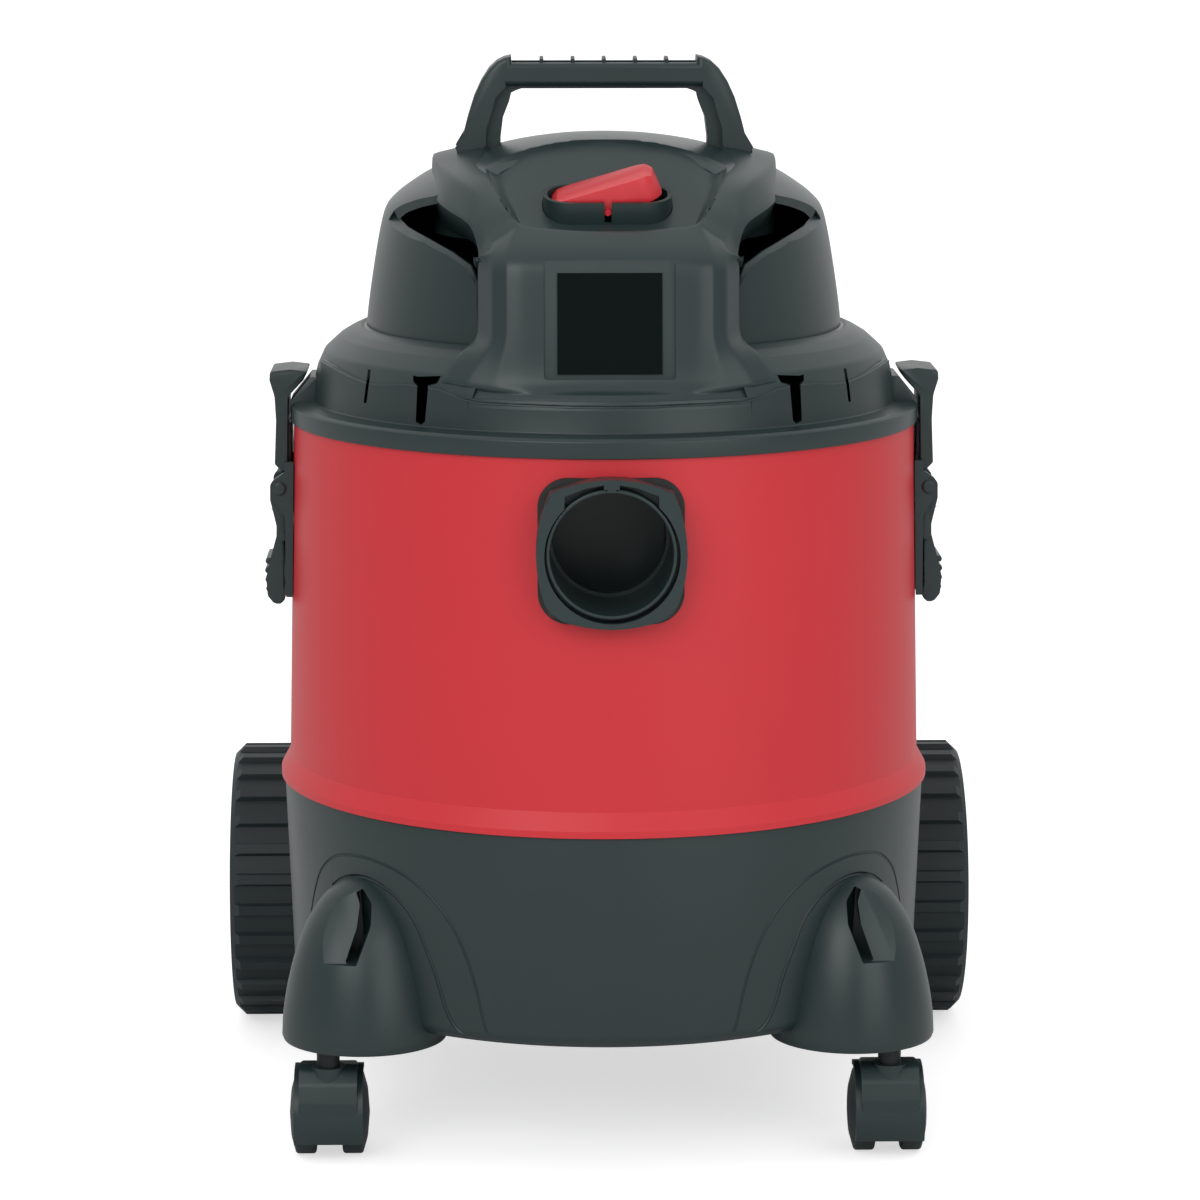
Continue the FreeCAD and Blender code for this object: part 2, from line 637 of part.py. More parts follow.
def latch_bracket():
    """Two rails with ears for the lever's pivot, joined by a bridge behind the grip."""
    low, high = BRACKET_Z
    inner = LATCH_HALF + GAP
    outer = LATCH_HALF + 4.0
    ear = LATCH_PIVOT_U + 3.4
    rail = [(140, low), (BRACKET_U, low, 1), (BRACKET_U, LATCH_PIVOT_Z - 14),
            (ear, LATCH_PIVOT_Z - 5, 3), (ear, LATCH_PIVOT_Z + 4, 3), (BRACKET_U, high - 5),
            (BRACKET_U, high, 1), (140, high)]
    bridge = box(140, BRACKET_U - 0.2, -outer, outer, low, HOOK_PIVOT_Z - 12)
    parts = [prism(rail, on_xz, inner, outer), prism(rail, on_xz, -outer, -inner), bridge]
    bracket = fuse([part.cut(drum_solid(0)) for part in parts])
    return bracket.cut(pin_hole(LEVER_PIN_R, LATCH_PIVOT_U, LATCH_PIVOT_Z))


def latch_pivot_pins():
    reach = LATCH_HALF + 4.3
    inner = STRAP_HALF + 0.8
    pivot = vec(LATCH_PIVOT_U, 0, LATCH_PIVOT_Z)
    return [rod(LEVER_PIN_R, pivot + Y * inner * way, pivot + Y * reach * way) for way in (1, -1)]


def latch_lever():
    """Forked top round the strap, plain plate below it and a ribbed finger grip."""
    arm_in = STRAP_HALF + GAP + 0.2
    knuckle = 4.9
    back = LATCH_PIVOT_U - knuckle
    arm = [(155.6, 286), (159.5, 283), (161.6, 286), (161.4, 292, 6), (164.4, 305, 5),
           (LATCH_PIVOT_U + knuckle, LATCH_PIVOT_Z), (back, LATCH_PIVOT_Z), (155.6, 303, 3)]
    pivot = vec(LATCH_PIVOT_U, 0, LATCH_PIVOT_Z)
    arms = []
    for low, high in ((arm_in, LATCH_HALF), (-LATCH_HALF, -arm_in)):
        arms.append(prism(arm, on_xz, low, high))
        arms.append(rod(knuckle, pivot + Y * low, pivot + Y * high))
    plate = [(157.4, 290), (158.6, 262), (157.6, 255, 2), (159.8, 253, 2), (163.0, 253, 2),
             (166.4, 257, 3), (167.2, 266, 6), (164.2, 277, 6), (161.4, 287), (161.2, 290)]
    grip = prism(plate, on_xz, -LATCH_HALF, LATCH_HALF)
    ribs = []
    for k in range(4):
        crest = vec(166.3 + 0.35 * k - 0.12 * k * k, 0, 260 + 4.5 * k)
        ribs.append(rod(0.9, crest - Y * (LATCH_HALF - 2), crest + Y * (LATCH_HALF - 2)))
    lever = fuse(arms + [grip] + ribs)
    return lever.cut([pin_hole(LEVER_PIN_R, LATCH_PIVOT_U, LATCH_PIVOT_Z),
                      pin_hole(HOOK_PIN_R, HOOK_PIVOT_U, HOOK_PIVOT_Z)])


def latch_hook():
    """Strap pinned in the lever's fork, thick upper part and the beak that holds the keeper."""
    back = 155.2
    beak = 144.2
    under = 355.4
    slope = math.tan(math.radians(KEEPER_SLOPE))
    strap = [(back, 299), (HOOK_PIVOT_U, 300.2), (158.7, 300.2), (158.7, 323), (back, 323)]
    upper = [(back, 319), (158.6, 319.0), (161.9, 322.5, 1.5), (160.9, 344), (161.6, 356),
             (163.9, 364, 1), (163.6, 368.0, 1), (154, 369.0), (beak, 368.2, 0.6),
             (beak, under + (back - beak) * slope), (back, under)]
    pivot = vec(HOOK_PIVOT_U, 0, HOOK_PIVOT_Z)
    eye = rod(3.4, pivot - Y * STRAP_HALF, pivot + Y * STRAP_HALF)
    hook = fuse([prism(strap, on_xz, -STRAP_HALF, STRAP_HALF), eye,
                 prism(upper, on_xz, -LATCH_HALF, LATCH_HALF)])
    return hook.cut(pin_hole(HOOK_PIN_R, HOOK_PIVOT_U, HOOK_PIVOT_Z))


def hook_pin():
    pivot = vec(HOOK_PIVOT_U, 0, HOOK_PIVOT_Z)
    return rod(HOOK_PIN_R, pivot - Y * LATCH_HALF, pivot + Y * LATCH_HALF)


def keeper():
    """Sloped gusset on the lid that the beak pulls on."""
    slope = math.tan(math.radians(KEEPER_SLOPE))
    low = LID_BAND_TOP_Z
    out = 154.0
    top_z = 365.5
    top_u = out - (top_z - low - 1.2) / slope
    return prism([(137, low - 2), (out, low - 2), (out, low + 1.2), (top_u, top_z), (137, top_z)],
                 on_xz, -LATCH_HALF + 1, LATCH_HALF - 1)


# ---- lid ------------------------------------------------------------------------------------
def lid():
    """Deck over the tank's mouth, its floor with the intake, and a spigot inside the mouth."""
    deck = [(DOME_BASE_R + 3.2, DOME_SEAT_Z + 3), (129.6, 385.0, 3), (137.5, 378.0, 3),
            (141.0, 369.0, 3), (143.6, 354.0), (LID_R, LID_BAND_TOP_Z, 1.5), (LID_R, TANK_TOP_Z)]
    spigot_bore = SPIGOT_R - SPIGOT_WALL
    skin = turned(band(deck, LID_WALL))
    rim = ring(LID_R, spigot_bore, TANK_TOP_Z + GASKET, PLATE_Z)
    spigot = ring(SPIGOT_R, spigot_bore, TANK_TOP_Z - SPIGOT_DEPTH, LID_FLOOR_Z)
    floor = ring(SPIGOT_R, INTAKE_R, LID_FLOOR_Z, PLATE_Z)
    seat = ring(DOME_BASE_R + 4, DOME_BASE_R - DOME_WALL - 1.5, DOME_SEAT_Z - 2.5, DOME_SEAT_Z)
    neck = ring(DOME_BASE_R + 5.6, DOME_BASE_R + 0.4, DOME_SEAT_Z - 2.5, DOME_SEAT_Z + 1.5)
    boss = rod(4.5, vec(LID_SCREW_R, 0, LID_FLOOR_Z), vec(LID_SCREW_R, 0, DOME_SEAT_Z - 8))
    whole = fuse([skin, rim, spigot, floor, seat, neck] + around(boss, 4, 45) + both_sides([keeper()]))
    groove = ring(LID_R - 1.6, SPIGOT_R + 0.4, TANK_TOP_Z - 1, TANK_TOP_Z + GASKET)
    slit = box(-0.7, 0.7, -150, -136, 356, 382)
    slits = [spun(slit, side * angle) for side in (1, -1) for angle in (37.0, 50.0)]
    hole = rod(HEAD_SCREW_R + FIT, vec(LID_SCREW_R, 0, 340), vec(LID_SCREW_R, 0, DOME_SEAT_Z))
    cage_hole = rod(HEAD_SCREW_R + FIT, vec(CAGE_SCREW_R, 0, 340), vec(CAGE_SCREW_R, 0, 360))
    notch = console_front(CONSOLE_WALL + SKIN).common(box(-200, 200, -200, -60, 300, 500))
    return whole.cut([groove, notch] + slits + around(hole, 4, 45) + around(cage_hole, 3, 30))


def lid_gasket():
    """Rubber ring that seals the lid on the tank's top edge."""
    return ring(TANK_TOP_R, SPIGOT_R + 0.4, TANK_TOP_Z, TANK_TOP_Z + GASKET)


# ---- dome -----------------------------------------------------------------------------------
def dome_path():
    """Half section of the dome from its crown to its base."""
    return [(0, DOME_TOP_Z), (DOME_CROWN_R / 2, DOME_TOP_Z, 190), (DOME_SHOULDER_R, DOME_SHOULDER_Z, 18),
            (DOME_BASE_R, DOME_SEAT_Z)]


def dome_solid(grow):
    return turned(moved(dome_path(), -grow) + [(0, DOME_SEAT_Z)])


def console_path():
    """Side view of the console from its skirt over the badge panel and up the switch bowl."""
    rise = math.tan(math.radians(BOWL_SLOPE))
    bowl = [(y, BOWL_Z + rise * (y - BOWL_Y)) for y in (-104.0, -38.0)]
    return [(-143.0, 358.0), (-141.0, 366.0, 4), (-130.5, 375.0, 6), (-122.5, 431.0, 9)] + bowl


def console_front(depth):
    """Everything in front of the console's skin, moved inwards by depth."""
    corners = band(console_path(), depth)
    inner = corners[len(console_path()):]
    side = CONSOLE_HALF + (SKIN if depth > 0 else 0)
    beyond = [(-220, inner[-1][1]), (-220, 560), (inner[0][0], 560)]
    return prism(beyond + [corner[:2] for corner in inner], on_yz, -side, side)


def vent_window(side):
    window = prism(VENT_PLAN, on_xy, *VENT_Z)
    return window if side < 0 else on_side(window, -1)


def dome():
    """Motor cover, open behind the console and at the two air outlets."""
    shell = turned(band(dome_path(), DOME_WALL))
    slot = rod(GLAND_R + FIT, vec(0, 80, GLAND_Z), vec(0, 130, GLAND_Z))
    windows = [vent_window(side) for side in (1, -1)]
    below = box(-150, 150, -150, 150, DOME_SEAT_Z - 10, DOME_SEAT_Z)
    return shell.cut([below, console_front(CONSOLE_WALL + SKIN)] + windows + [slot] + grille_slots())


def grille_slots():
    return [box(-40, 40, 60, 130, 428 + 7 * k, 431.5 + 7 * k) for k in range(3)]


def exhaust_baffle(side):
    """Curved screen behind an air outlet."""
    screen = ring(84.0, 82.5, 436, 464).common(prism(VENT_PLAN, on_xy, 430, 470).fuse(
        prism([(0, 0), (-60, -110), (-120, -20)], on_xy, 436, 464)))
    screen = screen.common(dome_solid(-DOME_WALL - 0.3))
    screen = screen.cut(box(-CONSOLE_HALF - 2, CONSOLE_HALF + 2, -200, 200, 0, 600))
    screen = max(screen.Solids, key=lambda solid: solid.Volume)
    return screen if side < 0 else on_side(screen, -1)


def exhaust_grille():
    """Rear grille behind the slots in the dome."""
    inside = dome_solid(-DOME_WALL - 0.15).cut(dome_solid(-DOME_WALL - 1.8))
    plate = inside.common(box(-46, 46, 60, 130, 424, 450))
    bars = [box(-44 + 8 * k, -40 + 8 * k, 50, 140, 427, 447) for k in range(11)]
    return plate.cut(bars)


# ---- console with handle --------------------------------------------------------------------
def lid_solid(grow):
    """The lid's outside, filled and grown by the given amount."""
    return turned([(0, 340), (LID_R, 340), (LID_R, LID_BAND_TOP_Z + grow), (143.6 + grow, 354.0),
                   (141.0 + grow, 369.0), (137.5 + grow, 378.0 + grow), (129.6 + grow, 385.0 + grow),
                   (DOME_BASE_R + 3.2 + grow, DOME_SEAT_Z + 3 + grow), (0, DOME_SEAT_Z + 3 + grow)])


def wing_roof():
    """Side view of the shoulders: low in front, level under the handle."""
    return [(-130, 438), (-112, 441), (-100, 447), (-75, 457.5), (-60, 461), (-35, 465), (-20, 469),
            (0, SHOULDER_Z), (12, SHOULDER_Z), (44, 464), (60, 455), (60, 400), (-130, 400)]


def handle():
    """Carrying handle: two splayed legs and a bar with a ribbed channel on top."""
    foot = 462.0
    inner_foot = HANDLE_FOOT_HALF - HANDLE_LEG
    inner_top = HANDLE_TOP_HALF - 9.0
    under = HANDLE_TOP_Z - HANDLE_BAR
    outer = [(-HANDLE_FOOT_HALF - 3, foot), (-HANDLE_TOP_HALF - 4, HANDLE_TOP_Z, 13),
             (HANDLE_TOP_HALF + 4, HANDLE_TOP_Z, 13), (HANDLE_FOOT_HALF + 3, foot),
             (inner_foot, foot), (inner_top + 1, under, 5), (-inner_top - 1, under, 5), (-inner_foot, foot)]
    body = prism(outer, on_xz, -HANDLE_DEPTH / 2, HANDLE_DEPTH / 2)
    half = HANDLE_DEPTH / 2
    channel = box(-46, 46, 3 - half, half - 3, HANDLE_TOP_Z - 6, HANDLE_TOP_Z + 5)
    rib = box(-0.8, 0.8, 2 - half, half - 2, HANDLE_TOP_Z - 7, HANDLE_TOP_Z)
    ribs = [rib.translated(X * 15.2 * k) for k in range(-2, 3)]
    return fuse([body.cut(channel)] + ribs)


def console():
    """Front panel with the switch bowl, its cheeks, the shoulders and the carrying handle."""
    path = console_path()
    panel = prism(band(path, CONSOLE_WALL), on_yz, -CONSOLE_HALF, CONSOLE_HALF)
    filled = prism([corner[:2] for corner in path] + [(-40, 400), (-100, 360)], on_yz,
                   CONSOLE_HALF - CONSOLE_WALL, CONSOLE_HALF)
    dome_out = dome_solid(SKIN)
    cheek = filled.cut([dome_out, lid_solid(SKIN)])
    between = box(-CONSOLE_HALF + 4, CONSOLE_HALF - 4, -220, 60, 300, 560)
    wing = prism(WING_PLAN, on_xy, 430, 480).common(prism(wing_roof(), on_yz, 30, 90))
    wing = wing.cut([dome_out, console_front(0).common(between)])
    whole = fuse([panel, handle().cut(dome_out)] + both_sides([cheek, wing]))
    return whole.cut([badge_pocket(), bezel_hole()])


def on_panel(shape):
    """Places a shape drawn round the origin, facing -Y, on the badge panel."""
    lean = math.degrees(math.atan2(8.0, 58.0))
    shape.rotate(vec(0, 0, 0), X, -lean)
    shape.translate(vec(0, -126.4, 403.3))
    return shape


def badge_pocket():
    half = BADGE_W / 2 + 0.3
    tall = BADGE_H / 2 + 0.3
    return on_panel(box(-half, half, -10, 1.4, -tall, tall))


def badge_plate():
    return on_panel(box(-BADGE_W / 2, BADGE_W / 2, 0.2, 1.4, -BADGE_H / 2, BADGE_H / 2))


# ---- switch ---------------------------------------------------------------------------------
def on_bowl(shape):
    """Places a shape drawn flat round the origin on the slope of the switch bowl."""
    shape.rotate(vec(0, 0, 0), X, SWITCH_SLOPE)
    shape.translate(vec(0, SWITCH_Y, SWITCH_Z))
    return shape


def racetrack(half, half_h, radius, start, end):
    return prism([(-half, -half_h, radius), (half, -half_h, radius), (half, half_h, radius),
                  (-half, half_h, radius)], on_xy, start, end)


def bezel_hole():
    """Hole in the bowl for the bezel, along the bezel's own axis."""
    return on_bowl(racetrack(BEZEL_HALF + SKIN, BEZEL_HALF_H + SKIN, BEZEL_ROUND + SKIN, -40, 30))


def switch_bezel():
    """Cup round the rocker: open slot in front and a hole behind for the rocker's pins."""
    cup = racetrack(BEZEL_HALF, BEZEL_HALF_H, BEZEL_ROUND, -BEZEL_DEPTH - 2, 0)
    inside = racetrack(BEZEL_HALF - BEZEL_WALL, BEZEL_HALF_H - BEZEL_WALL,
                       BEZEL_ROUND - BEZEL_WALL, -BEZEL_DEPTH, 1)
    reach = BEZEL_HALF_H + 1
    slot = box(-1.7, 1.7, -reach, -BEZEL_HALF_H + BEZEL_WALL + 0.3, -9.5, 1)
    hole = rod(ROCKER_PIN_R + FIT, vec(0, 0, -ROCKER_PIVOT_DEPTH), vec(0, reach, -ROCKER_PIVOT_DEPTH))
    wires = rod(3, vec(0, 0, -BEZEL_DEPTH - 3), vec(0, 0, -BEZEL_DEPTH + 1))
    return on_bowl(cup.cut([inside, slot, hole, wires]))


def rocker():
    """Paddle with a pin at each side, resting with its +X end up."""
    half_low = BEZEL_HALF - BEZEL_WALL - 1.6
    half_top = half_low - 2.6
    half_s = BEZEL_HALF_H - BEZEL_WALL - 1.2
    paddle = prism([(-half_low, -1.0, 0.6), (half_low, -1.0, 0.6), (half_top, ROCKER_HEIGHT, 1.6),
                    (-half_top, ROCKER_HEIGHT, 1.6)], on_xz, -half_s, half_s)
    plan = racetrack(half_low + 0.1, half_s, BEZEL_ROUND - BEZEL_WALL, -20, 20)
    hub = rod(3.6, vec(0, -half_s + 1, 0), vec(0, half_s - 1, 0))
    pins = rod(ROCKER_PIN_R, vec(0, -BEZEL_HALF_H, 0), vec(0, BEZEL_HALF_H - 0.4, 0))
    body = fuse([paddle.common(plan), hub, pins])
    body.rotate(vec(0, 0, 0), Y, -ROCKER_TILT)
    body.translate(vec(0, 0, -ROCKER_PIVOT_DEPTH))
    return on_bowl(body)


def switch_body():
    """Contact block under the bezel's floor, with two terminals."""
    block = box(-18, 18, -8, 8, -BEZEL_DEPTH - 14, -BEZEL_DEPTH - 2)
    terminals = [box(x - 3, x + 3, -0.4, 0.4, -BEZEL_DEPTH - 21, -BEZEL_DEPTH - 14) for x in (-8, 8)]
    return on_bowl(fuse([block] + terminals))


# ---- motor, fan and filter ------------------------------------------------------------------
def lower_mount():
    """Rubber ring under the fan housing."""
    return ring(FAN_HOUSING_R - 2, FAN_HOUSING_R - 12, PLATE_Z, FAN_BOTTOM_Z)


def fan_housing():
    """Pressed can round the impeller, with an eye below and ports above."""
    can = ring(FAN_HOUSING_R, FAN_HOUSING_R - 1.5, FAN_BOTTOM_Z, FAN_TOP_Z)
    bottom = ring(FAN_HOUSING_R, INTAKE_R, FAN_BOTTOM_Z, FAN_BOTTOM_Z + 1.5)
    top = ring(FAN_HOUSING_R, BEARING_R + 0.1, FAN_TOP_Z - 1.5, FAN_TOP_Z)
    cup = ring(BEARING_R + 3, BEARING_R + 0.1, FAN_TOP_Z - 1.5, FAN_TOP_Z + BEARING_HEIGHT)
    port = rod(6, vec(46, 0, FAN_TOP_Z - 5), vec(46, 0, FAN_TOP_Z + 5))
    return fuse([can, bottom, top, cup]).cut(around(port, 10))


def impeller():
    """Two discs with backward curved blades between them, fixed on the shaft."""
    low = FAN_BOTTOM_Z + 4.0
    lower = ring(FAN_R, INTAKE_R - 4, low, low + 1.2)
    upper = ring(FAN_R, SHAFT_R + FIT, low + 13, low + 14.2)
    hub = ring(9, SHAFT_R + FIT, low + 5, low + 14.2)
    blade = ring(38, 36.8, low + 1, low + 13.2).common(box(0, 60, -60, 0, low, low + 15))
    blade.translate(vec(16, 24, 0))
    blade = blade.common(ring(FAN_R - 0.5, INTAKE_R - 2, low, low + 15))
    return fuse([lower, upper, hub] + around(blade, 7))


def motor_shaft():
    return rod(SHAFT_R, vec(0, 0, SHAFT_Z[0]), vec(0, 0, SHAFT_Z[1]))


def armature():
    """Rotor stack, its windings and the commutator."""
    stack = ring(24, SHAFT_R + FIT, STACK_Z[0], STACK_Z[1])
    windings = [ring(19, SHAFT_R + FIT, STACK_Z[0] - 5, STACK_Z[0]),
                ring(19, SHAFT_R + FIT, STACK_Z[1], STACK_Z[1] + 4)]
    commutator = ring(11, SHAFT_R + FIT, STACK_Z[1] + 4, STACK_Z[1] + 14)
    return fuse([stack] + windings + [commutator])


def field_stator():
    """Field stack with its two coils, standing on the lower frame."""
    stack = ring(MOTOR_R, 25, STACK_Z[0], STACK_Z[1]).common(box(-36, 36, -50, 50, *STACK_Z))
    low = STACK_Z[0] - 4
    high = STACK_Z[1] + 5
    coil = ring(35, 27, low, high).common(box(-22, 22, 10, 50, low, high))
    return fuse([stack, coil, spun(coil, 180)])


def lower_frame():
    """Open bracket from the fan housing up to the field stack."""
    foot = ring(MOTOR_R + 3, 30, FAN_TOP_Z, FAN_TOP_Z + 3)
    ledge = ring(MOTOR_R, 36.5, STACK_Z[0] - 3, STACK_Z[0])
    legs = [spun(box(36.5, 41.5, -6, 6, FAN_TOP_Z, STACK_Z[0]), a) for a in FRAME_LEG_ANGLES]
    return fuse([foot, ledge] + legs)


def upper_frame():
    """Top bracket with the upper bearing seat and the brush holders."""
    ledge = ring(MOTOR_R, 36.5, STACK_Z[1], STACK_Z[1] + 3)
    legs = [spun(box(36.5, 41.5, -6, 6, STACK_Z[1], TOP_FRAME_Z), a) for a in FRAME_LEG_ANGLES]
    plate = ring(MOTOR_R, BEARING_R + 0.1, TOP_FRAME_Z - 3, TOP_FRAME_Z)
    cup = ring(BEARING_R + 3, BEARING_R + 0.1, TOP_FRAME_Z - 3, TOP_FRAME_Z + BEARING_HEIGHT)
    shelf = box(15, 40, -5, 5, STACK_Z[1] + 12.6, TOP_FRAME_Z - 2)
    return fuse([ledge, plate, cup] + legs + both_sides([shelf]))


def carbon_brushes():
    """Brushes that ride on the commutator, hung under the holders' shelves."""
    return both_sides([box(11.2, 30, -3, 3, STACK_Z[1] + 6.5, STACK_Z[1] + 12.6)])


def bearings():
    return [ring(BEARING_R, SHAFT_R + FIT, low, low + BEARING_HEIGHT) for low in (FAN_TOP_Z, TOP_FRAME_Z)]


def cooling_fan():
    """Small fan on the shaft above the lower bearing."""
    low = FAN_TOP_Z + 8.5
    hub = ring(8, SHAFT_R + FIT, low, low + 4.2)
    disc = ring(22, 7, low, low + 1.2)
    blade = box(7, 22, -0.6, 0.6, low + 1, low + 4.2)
    return fuse([hub, disc] + around(blade, 9))


def upper_mount():
    """Rubber cap between the upper bearing seat and the dome's crown."""
    top = DOME_TOP_Z - DOME_WALL - MOUNT_HEIGHT
    return ring(BEARING_R + 7, SHAFT_R + 2, TOP_FRAME_Z + BEARING_HEIGHT, top)


def dome_post():
    """Ring under the dome's crown that presses on the rubber cap."""
    under = DOME_TOP_Z - DOME_WALL
    return ring(BEARING_R + 7, BEARING_R + 4, under - MOUNT_HEIGHT, under + 0.5)


def filter_cage():
    """Slotted cage under the lid that holds the foam sleeve and the float."""
    top = LID_FLOOR_Z
    wall = ring(CAGE_R, CAGE_R - CAGE_WALL, CAGE_BOTTOM_Z, top)
    floor = ring(CAGE_R, 12, CAGE_BOTTOM_Z, CAGE_BOTTOM_Z + CAGE_WALL)
    flange = ring(CAGE_R + FOAM_WALL + 2, CAGE_R - 14, top - 3, top)
    windows = [spun(box(30, 80, -9, 9, z, z + 28), a)
               for z in (CAGE_BOTTOM_Z + 10, CAGE_BOTTOM_Z + 44, CAGE_BOTTOM_Z + 78)
               for a in range(0, 360, 45)]
    seat_tube = ring(FLOAT_R + 3.5, FLOAT_R + 1.0, FLOAT_BOTTOM_Z - 1, top - 2.5)
    slots = [spun(box(10, 40, -7, 7, FLOAT_BOTTOM_Z + 6, top - 12), a) for a in range(30, 390, 60)]
    shelf = ring(CAGE_R - 1, FLOAT_R - 6, FLOAT_BOTTOM_Z - 3, FLOAT_BOTTOM_Z - 0.3)
    shelf = shelf.cut(around(rod(8, vec(42, 0, CAGE_BOTTOM_Z), vec(42, 0, top)), 8))
    collar = ring(CAGE_R - 13, FLOAT_R + 1.0, top - 3, top)
    cage = fuse([wall.cut(windows), floor, flange, collar, shelf, seat_tube.cut(slots)])
    screw = rod(HEAD_SCREW_R + FIT, vec(CAGE_SCREW_R, 0, top - 5), vec(CAGE_SCREW_R, 0, top + 5))
    return cage.cut(around(screw, 3, 30))


def float_ball():
    """Hollow float; when the tank is full it rises and shuts the intake."""
    top = FLOAT_BOTTOM_Z + FLOAT_HEIGHT
    radius = FLOAT_R - 1
    wall = 2.0
    outer = turned([(0, FLOAT_BOTTOM_Z), (radius, FLOAT_BOTTOM_Z, 4), (radius, top, 8), (0, top)])
    inner = turned([(0, FLOAT_BOTTOM_Z + wall), (radius - wall, FLOAT_BOTTOM_Z + wall, 3),
                    (radius - wall, top - wall, 6), (0, top - wall)])
    return outer.cut(inner)


def foam_filter():
    """Foam sleeve over the cage."""
    return ring(CAGE_R + 0.2 + FOAM_WALL, CAGE_R + 0.2, CAGE_BOTTOM_Z + 2, LID_FLOOR_Z - 3.2)


def head_screws():
    """Screws up through the lid's bosses, and those that hold the cage."""
    long_screw = screw_up(LID_SCREW_R, LID_FLOOR_Z, DOME_SEAT_Z - 10)
    short_screw = screw_up(CAGE_SCREW_R, LID_FLOOR_Z - LID_WALL, LID_FLOOR_Z + 2.6)
    return around(long_screw, 4, 45) + around(short_screw, 3, 30)


def screw_up(radius, seat_z, tip_z):
    """Screw whose head lies under seat_z, at radius from the drum's axis."""
    seat = vec(radius, 0, seat_z)
    shank = rod(HEAD_SCREW_R, seat - Z * 0.2, vec(radius, 0, tip_z))
    return fuse([shank, rod(HEAD_SCREW_R * 2, seat - Z * SCREW_HEAD, seat)])


def cord_gland():
    """Strain relief bush in the back of the dome, with a collar outside the wall."""
    wall = vec(0, DOME_BASE_R, GLAND_Z)
    bush = rod(GLAND_R, vec(0, GLAND_Y[0], GLAND_Z), vec(0, GLAND_Y[1], GLAND_Z))
    collar = rod(GLAND_R + 2.5, wall - Y * 1.5, wall + Y * 4).cut(dome_solid(FIT))
    return fuse([bush, collar]).cut(rod(CORD_R, vec(0, 90, GLAND_Z), vec(0, 150, GLAND_Z)))


# ---- all nodes ------------------------------------------------------------------------------
def main():
    os.makedirs("parts", exist_ok=True)
    save("tank", tank())
    save("base", base())
    save("base_screws", base_screws())
    save("rear_axle", rear_axle())
    save("axle_push_nuts", axle_push_nuts())
    save("hose_inlet", hose_inlet())
    save("inlet_gasket", inlet_gasket())
    save("inlet_screws", inlet_screws())
    save("inlet_deflector", inlet_deflector())
    for side, word in ((1, "right"), (-1, "left")):
        save("rear_wheel_" + word, on_side(rear_wheel(), side))
        save("hub_cap_" + word, on_side(hub_cap(), side))
        save("caster_stem_" + word, on_side(caster_stem(), side))
        save("caster_hood_" + word, on_side(caster_hood(), side))
        save("caster_axle_" + word, on_side(caster_axle(), side))
        save("caster_wheel_outer_" + word, on_side(caster_wheel(1), side))
        save("caster_wheel_inner_" + word, on_side(caster_wheel(-1), side))
        save("latch_bracket_" + word, on_side(latch_bracket(), side))
        save("latch_lever_" + word, on_side(latch_lever(), side))
        save("latch_hook_" + word, on_side(latch_hook(), side))
        save("hook_pin_" + word, on_side(hook_pin(), side))
    save("caster_sockets", both_sides([caster_socket()]))
    save("latch_pivot_pins", both_sides(latch_pivot_pins()))
    save("exhaust_baffles", [exhaust_baffle(side) for side in (1, -1)])
    save("lid", lid())
    save("lid_gasket", lid_gasket())
    save("dome", fuse([dome(), dome_post()]))
    save("console_handle", console())
    save("badge_plate", badge_plate())
    save("switch_bezel", switch_bezel())
    save("switch_body", switch_body())
    save("rocker", rocker())
    save("cord_gland", cord_gland())
    save("exhaust_grille", exhaust_grille())
    save("motor_mounts", [lower_mount(), upper_mount()])
    save("fan_housing", fan_housing())
    save("impeller", impeller())
    save("motor_shaft", motor_shaft())
    save("armature", armature())
    save("cooling_fan", cooling_fan())
    save("field_stator", field_stator())
    save("lower_frame", lower_frame())
    save("upper_frame", upper_frame())
    save("bearings", bearings())
    save("carbon_brushes", carbon_brushes())
    save("filter_cage", filter_cage())
    save("foam_filter", foam_filter())
    save("float", float_ball())
    save("head_screws", head_screws())


main()
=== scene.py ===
import json
import math

import bmesh
import bpy
from mathutils import Matrix, Vector


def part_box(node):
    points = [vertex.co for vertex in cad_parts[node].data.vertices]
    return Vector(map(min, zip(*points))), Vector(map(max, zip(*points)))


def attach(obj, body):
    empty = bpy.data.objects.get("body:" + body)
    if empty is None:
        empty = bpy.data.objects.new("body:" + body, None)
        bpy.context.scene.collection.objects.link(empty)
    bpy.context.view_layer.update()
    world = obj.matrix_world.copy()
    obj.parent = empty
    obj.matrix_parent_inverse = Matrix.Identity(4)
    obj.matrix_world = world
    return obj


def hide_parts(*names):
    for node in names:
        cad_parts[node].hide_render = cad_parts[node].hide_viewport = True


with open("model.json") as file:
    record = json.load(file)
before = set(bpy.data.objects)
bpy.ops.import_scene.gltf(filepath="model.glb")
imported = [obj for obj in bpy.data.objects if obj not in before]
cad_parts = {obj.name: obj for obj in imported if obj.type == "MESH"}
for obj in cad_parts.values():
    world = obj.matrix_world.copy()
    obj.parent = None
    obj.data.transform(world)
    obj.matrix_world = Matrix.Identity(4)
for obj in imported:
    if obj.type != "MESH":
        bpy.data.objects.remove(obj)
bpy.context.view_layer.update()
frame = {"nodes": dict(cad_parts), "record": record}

# Shapes below are drawn in millimetres round the drum's axis: x right, y back, z up.
MM = 1000  # millimetres in the frame's metre
tank_low, tank_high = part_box("tank")
AXIS_Y = (tank_low.y + tank_high.y) / 2 * MM
SIDES = ((1, "right"), (-1, "left"))


def metres(point):
    """A point of the drawings in the frame's metres."""
    return Vector((point[0] / MM, (point[1] + AXIS_Y) / MM, point[2] / MM))


def millimetres(point):
    """A point of the frame in the drawings' millimetres."""
    return Vector((point[0] * MM, point[1] * MM - AXIS_Y, point[2] * MM))


